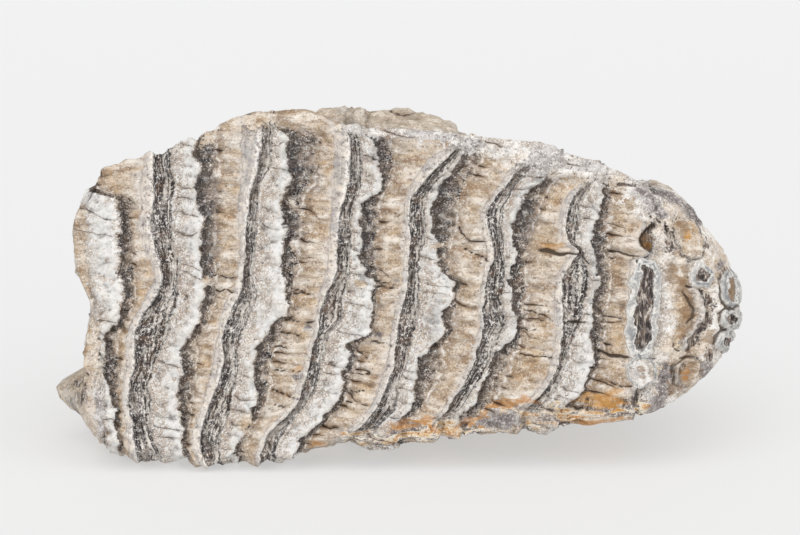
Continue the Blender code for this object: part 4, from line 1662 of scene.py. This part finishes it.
# The finish of each stretch of a plate after its valley, and how softly it starts.
STRETCH_FINISHES = {Tissue.WALL: (CEMENT, 0.12), Tissue.CREST: (ENAMEL, 0.1),
                    Tissue.TROUGH: (DENTINE, 0.03), Tissue.LEDGE: (CHALK, 0.06)}
COVERS = {Mark.PALE: PALE, Mark.STRANDS: RIM, Mark.CEMENT: CEMENT, Mark.ENAMEL: ENAMEL, Mark.DARK: CRUST,
          Mark.SLATE: SLATE}
STAINS = {Mark.BROWN: Stain("#85643F", 0.65), Mark.RUST: Stain("#C2822F", 0.64),
          Mark.GOLD: Stain("#CD943C", 0.5), Mark.BLUE: Stain("#44454F", 0.36)}


@dataclass(frozen=True)
class FossilTooth:
    """The tooth's one material: worn, mineralised tooth, dull all over but for its enamel.

    It lays every tissue's finish where the plates have worn to it. Pairs are where a share starts
    and is full. A jitter is how far grit breaks up an edge.
    """

    unworn: float
    ior: float = 1.5
    jitter: float = 0.35
    bend: float = 0.3
    edge: float = 0.05
    unworn_edge: float = 0.15
    side_grows: Pair = (0.3, 1.0)
    side_share: float = 0.75
    torn: float = 1.6
    cover_edge: Pair = (0.4, 0.6)
    streaked: float = 3.0
    stain_edge: Pair = (0.25, 0.75)
    marked_from: Pair = (0.05, 0.2)
    ring_jitter: float = 0.6
    ring_starts: Pair = (-0.1, 0.1)
    ring_ends: Pair = (1.05, 0.95)
    crack: str = "#43342A"
    crack_roughness: float = 0.9
    crack_strength: float = 0.85
    crack_width: float = 0.05
    crack_jitter: float = 0.12
    crack_edge: Pair = (-0.02, 0.03)
    crack_opens: Pair = (0.1, 0.35)
    long_crack_edge: Pair = (0.45, 0.75)
    # Brown painted shade beside the cracks between blocks.
    crack_shade: str = "#8C6C4E"
    crack_shade_reach: float = 0.3
    crack_shade_strength: float = 0.6
    # Old soil with painted shade in the hollows, and a pale powdery coat with a painted highlight on what
    # stands out.
    soil_and_shade_jitter: float = 1.5
    dirt_and_shade: str = "#5A4B3E"
    dirt_and_shade_edge: Pair = (0.1, 0.9)
    dirt_and_shade_strength: float = 0.45
    dust_and_highlight: str = "#EFE9E0"
    dust_and_highlight_edge: Pair = (-0.15, -0.8)
    dust_and_highlight_strength: float = 0.4

    def build(self) -> bpy.types.Material:
        """Make the material.

        Returns:
            The material, reading the skin's attributes.
        """
        material = bpy.data.materials.new("fossil_tooth_worn_and_mineralised")
        material.use_nodes = True
        material.node_tree.nodes.clear()
        bench = Bench(material.node_tree)
        for name in ("count", "fibre", "rings", "side", "hollow", "blocks", "split",
                     *(mark.value for mark in Mark)):
            bench.held[name] = bench.add("Attribute", output="Fac", attribute_name=name)
        spot = bench.add("TexCoord", output="Object")
        place = bench.add("VectorMath", {0: spot, "Scale": 1 / MM}, operation="SCALE")
        y, z = (bench.add("SeparateXYZ", (place,), axis) for axis in "YZ")
        bench.ways[Way.PLACE] = place
        bent = bench.add("Math", (bench.pattern(MOTTLE), self.bend, bench.held["fibre"]),
                         operation="MULTIPLY_ADD")
        bench.ways[Way.FIBRES] = bench.add("CombineXYZ", (bent, y, z))
        bench.grit = bench.swung(GRIT)
        count = bench.add("Math", (bench.grit, self.jitter, bench.held["count"]), operation="MULTIPLY_ADD")
        bench.stretch = bench.add("Math", (count, STRETCHES), operation="FLOORED_MODULO")

        layer = self.ringed(bench, self.marked(bench, self.tissues(bench)))
        layer = self.soiled_and_shaded(bench, self.cracked(bench, layer))
        bump = bench.add("Bump", {"Height": layer.height, "Distance": MM}, "Normal")
        shader = bench.add("BsdfPrincipled", {"Base Color": layer.colour, "Roughness": layer.roughness,
                                              "Normal": bump, "IOR": self.ior})
        bench.add("OutputMaterial", {"Surface": shader})
        return material

    def tissues(self, bench: Bench) -> Layer:
        """Lay each tissue's finish along the plates, then the unworn end and the root side.

        Args:
            bench: the node tree at work.

        Returns:
            The bare tooth.
        """
        rubble = RUBBLE.lay(bench)
        layer = rubble
        for tissue, (finish, soft) in STRETCH_FINISHES.items():
            start, full = tissue.value - soft, tissue.value + self.edge
            share = bench.add("MapRange", (bench.stretch, start, full), **SMOOTH)
            layer = layer.under(bench, share, finish.lay(bench))
        share = bench.add("MapRange", (bench.stretch, STRETCHES - 2 * self.edge, STRETCHES), **SMOOTH)
        layer = layer.under(bench, share, rubble)
        limits = (self.unworn, self.unworn + self.unworn_edge)
        share = bench.add("MapRange", (bench.held["count"], *limits), **SMOOTH)
        layer = layer.under(bench, share, CREAM.lay(bench))
        limits = (*self.side_grows, 0.0, self.side_share)
        share = bench.add("MapRange", (bench.held["side"], *limits), **SMOOTH)
        return layer.under(bench, share, ROOT.lay(bench))

    def marked(self, bench: Bench, layer: Layer) -> Layer:
        """Lay the covers and stains over the tissues, with torn edges.

        Args:
            bench: the node tree at work.
            layer: the tooth so far.

        Returns:
            The tooth with them on it.
        """
        tear = bench.add("Math", (bench.grit, bench.swung(MOTTLE)), operation="ADD")
        streak = bench.swung(RIM_STRANDS)
        for mark in (*COVERS, *STAINS):
            cover = mark in COVERS
            full, edge = (1.0, self.cover_edge) if cover else (STAINS[mark].strength, self.stain_edge)
            wear, amount = (tear, self.torn) if cover else (streak, self.streaked)
            torn = bench.add("Math", (wear, amount, bench.held[mark.value]), operation="MULTIPLY_ADD")
            torn = bench.add("MapRange", (torn, *edge, 0.0, full), **SMOOTH)
            present = bench.add("MapRange", (bench.held[mark.value], *self.marked_from), **SMOOTH)
            share = bench.add("Math", (torn, present), operation="MULTIPLY")
            if cover:
                layer = layer.under(bench, share, COVERS[mark].lay(bench))
            else:
                layer = layer.tinted(bench, share, linear(STAINS[mark].colour))
        return layer

    def ringed(self, bench: Bench, layer: Layer) -> Layer:
        """Lay the rings' enamel walls.

        Args:
            bench: the node tree at work.
            layer: the tooth so far.

        Returns:
            The tooth with its rings.
        """
        bench.stretch = bench.add("Math", (bench.grit, self.ring_jitter, bench.held["rings"]),
                                  operation="MULTIPLY_ADD")
        begun = bench.add("MapRange", (bench.stretch, *self.ring_starts), **SMOOTH)
        ending = bench.add("MapRange", (bench.stretch, *self.ring_ends), **SMOOTH)
        share = bench.add("Math", (begun, ending), operation="MULTIPLY")
        return layer.under(bench, share, RING.lay(bench))

    def cracked(self, bench: Bench, layer: Layer) -> Layer:
        """Draw the cracks between the blocks of cement, and the few long ones.

        Args:
            bench: the node tree at work.
            layer: the tooth so far.

        Returns:
            The tooth with its cracks, and a brown painted shade beside them.
        """
        split = bench.held["split"]
        near = bench.add("Math", (bench.held["blocks"], 0.5), operation="PINGPONG")
        depth = bench.add("Math", (split, self.crack_width), operation="MULTIPLY")
        depth = bench.add("Math", (depth, near), operation="SUBTRACT")
        depth = bench.add("Math", (bench.grit, self.crack_jitter, depth), operation="MULTIPLY_ADD")
        drawn = bench.add("MapRange", (depth, *self.crack_edge), **SMOOTH)
        opened = bench.add("MapRange", (split, *self.crack_opens), **SMOOTH)
        drawn = bench.add("Math", (drawn, opened), operation="MULTIPLY")
        long = bench.add("MapRange", (bench.held[Mark.CRACK.value], *self.long_crack_edge), **SMOOTH)
        share = bench.add("Math", (drawn, long), operation="MAXIMUM")
        share = bench.add("Math", (share, self.crack_strength), operation="MULTIPLY")
        # Painted brown shade beside each crack between blocks, strongest next to it.
        soaked = bench.add("MapRange", (near, self.crack_shade_reach, 0.0, 0.0, self.crack_shade_strength), **SMOOTH)
        soaked = bench.add("Math", (soaked, split), operation="MULTIPLY")
        layer = layer.tinted(bench, soaked, linear(self.crack_shade))
        return layer.under(bench, share, Layer(linear(self.crack), self.crack_roughness, 0.0))

    def soiled_and_shaded(self, bench: Bench, layer: Layer) -> Layer:
        """Darken the hollows with old soil and painted shade, and pale what stands out with a powdery coat
        and a painted highlight.

        Args:
            bench: the node tree at work.
            layer: the tooth so far.

        Returns:
            The finished tooth.
        """
        # Painted shade darkens the hollows over their soil, and a painted highlight pales what stands out
        # over its powdery coat.
        for jitter, edge, strength, colour in (
                (self.soil_and_shade_jitter, self.dirt_and_shade_edge, self.dirt_and_shade_strength, self.dirt_and_shade),
                (-self.soil_and_shade_jitter, self.dust_and_highlight_edge, self.dust_and_highlight_strength, self.dust_and_highlight)):
            level = bench.add("Math", (bench.grit, jitter, bench.held["hollow"]), operation="MULTIPLY_ADD")
            share = bench.add("MapRange", (level, *edge, 0.0, strength), **SMOOTH)
            layer = layer.tinted(bench, share, linear(colour))
        return layer


@dataclass(frozen=True)
class Studio:
    """Pale table, soft light and the camera."""

    sight: Sight = Sight()
    table_flat: float = 3.0
    table_sweep: float = 0.6
    table_sides: int = 72
    sweep_steps: int = 13
    table_colour: str = "#A4A4A4"
    table_roughness: float = 0.7
    table_glow: float = 0.45
    glow_colour: str = "#FFFFFF"
    room_colour: str = "#FFFFFF"
    room_strength: float = 0.56
    lamp_from: Triple = (0.1, -1.0, 1.15)
    lamp_spread_deg: float = 100.0
    lamp_strength: float = 2.15

    def lay_table(self) -> bpy.types.Object:
        """Lay the table top, a flat matt light panel that sweeps up all round into a low wall.

        Returns:
            The table, in its material.
        """
        turn = np.linspace(0.0, math.pi / 2, self.sweep_steps)
        radii = self.table_flat + self.table_sweep * np.sin(turn)
        heights = self.table_sweep * (1 - np.cos(turn))
        sides = self.table_sides
        angle = np.arange(sides) * (2 * math.pi / sides)
        corners = [(radius * math.cos(a), radius * math.sin(a), height)
                   for radius, height in zip(radii, heights) for a in angle] + [(0.0, 0.0, 0.0)]
        middle = len(corners) - 1
        after = [(side + 1) % sides for side in range(sides)]
        faces = [(middle, side, after[side]) for side in range(sides)]
        for first in range(0, middle - sides, sides):
            faces += [(first + side, first + sides + side, first + sides + after[side], first + after[side])
                      for side in range(sides)]
        data = bpy.data.meshes.new("table")
        data.from_pydata(corners, [], faces)
        data.shade_smooth()
        data.materials.append(self.table_finish())
        return stood("table", data)

    def table_finish(self) -> bpy.types.Material:
        """Make the matt light panel. Its own glow keeps the shadows on it faint.

        Returns:
            The material.
        """
        panel = bpy.data.materials.new("table_matt_light_panel")
        panel.use_nodes = True
        sockets = panel.node_tree.nodes["Principled BSDF"].inputs
        sockets["Base Color"].default_value = linear(self.table_colour)
        sockets["Roughness"].default_value = self.table_roughness
        sockets["Emission Color"].default_value = linear(self.glow_colour)
        sockets["Emission Strength"].default_value = self.table_glow
        return panel

    def light(self) -> None:
        """Light the room evenly, and add one broad soft lamp from above the camera."""
        world = bpy.data.worlds.new("pale_room")
        world.use_nodes = True
        background = world.node_tree.nodes["Background"]
        background.inputs["Color"].default_value = linear(self.room_colour)
        background.inputs["Strength"].default_value = self.room_strength
        bpy.context.scene.world = world
        data = bpy.data.lights.new("broad_soft_lamp", "SUN")
        data.energy, data.angle = self.lamp_strength, math.radians(self.lamp_spread_deg)
        lamp = stood("broad_soft_lamp", data)
        lamp.location = self.lamp_from
        east, north, up = self.lamp_from
        lamp.rotation_euler = (math.atan2(math.hypot(east, north), up), 0.0, math.atan2(east, -north))

    def aim_camera(self, middle: Pair) -> None:
        """Stand the camera square to the chewing face.

        Args:
            middle: how far the tooth was moved along and back when it was placed, in mm.
        """
        sight = self.sight
        data = bpy.data.cameras.new("face_view")
        data.lens, data.sensor_width = sight.lens_mm, sight.sensor_mm
        camera = stood("face_view", data)
        aim = (sight.aim_along - middle[0], sight.aim_up * math.sin(sight.lean) - middle[1],
               sight.aim_up * math.cos(sight.lean))
        camera.location = (aim[0] * MM, (aim[1] - sight.distance * math.cos(sight.lean)) * MM,
                           (aim[2] + sight.distance * math.sin(sight.lean)) * MM)
        camera.rotation_euler = (math.pi / 2 - sight.lean, 0.0, 0.0)
        bpy.context.scene.camera = camera


def main() -> None:
    """Build the tooth, dress it and set it in the studio."""
    logging.basicConfig(level=logging.INFO, format="%(message)s")
    bpy.context.scene.view_settings.view_transform = "Standard"

    molar = Molar()
    tooth = molar.build()
    molar.dress(tooth)
    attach(tooth, "root")
    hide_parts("tooth")
    log.info("molar: %d faces", len(tooth.data.polygons))

    studio = Studio()
    table = studio.lay_table()
    log.info("table: %d faces", len(table.data.polygons))
    studio.light()
    studio.aim_camera(molar.shape.footprint_middle)
    log.info("studio: room light, one lamp and the camera")


if __name__ == "__main__":
    main()
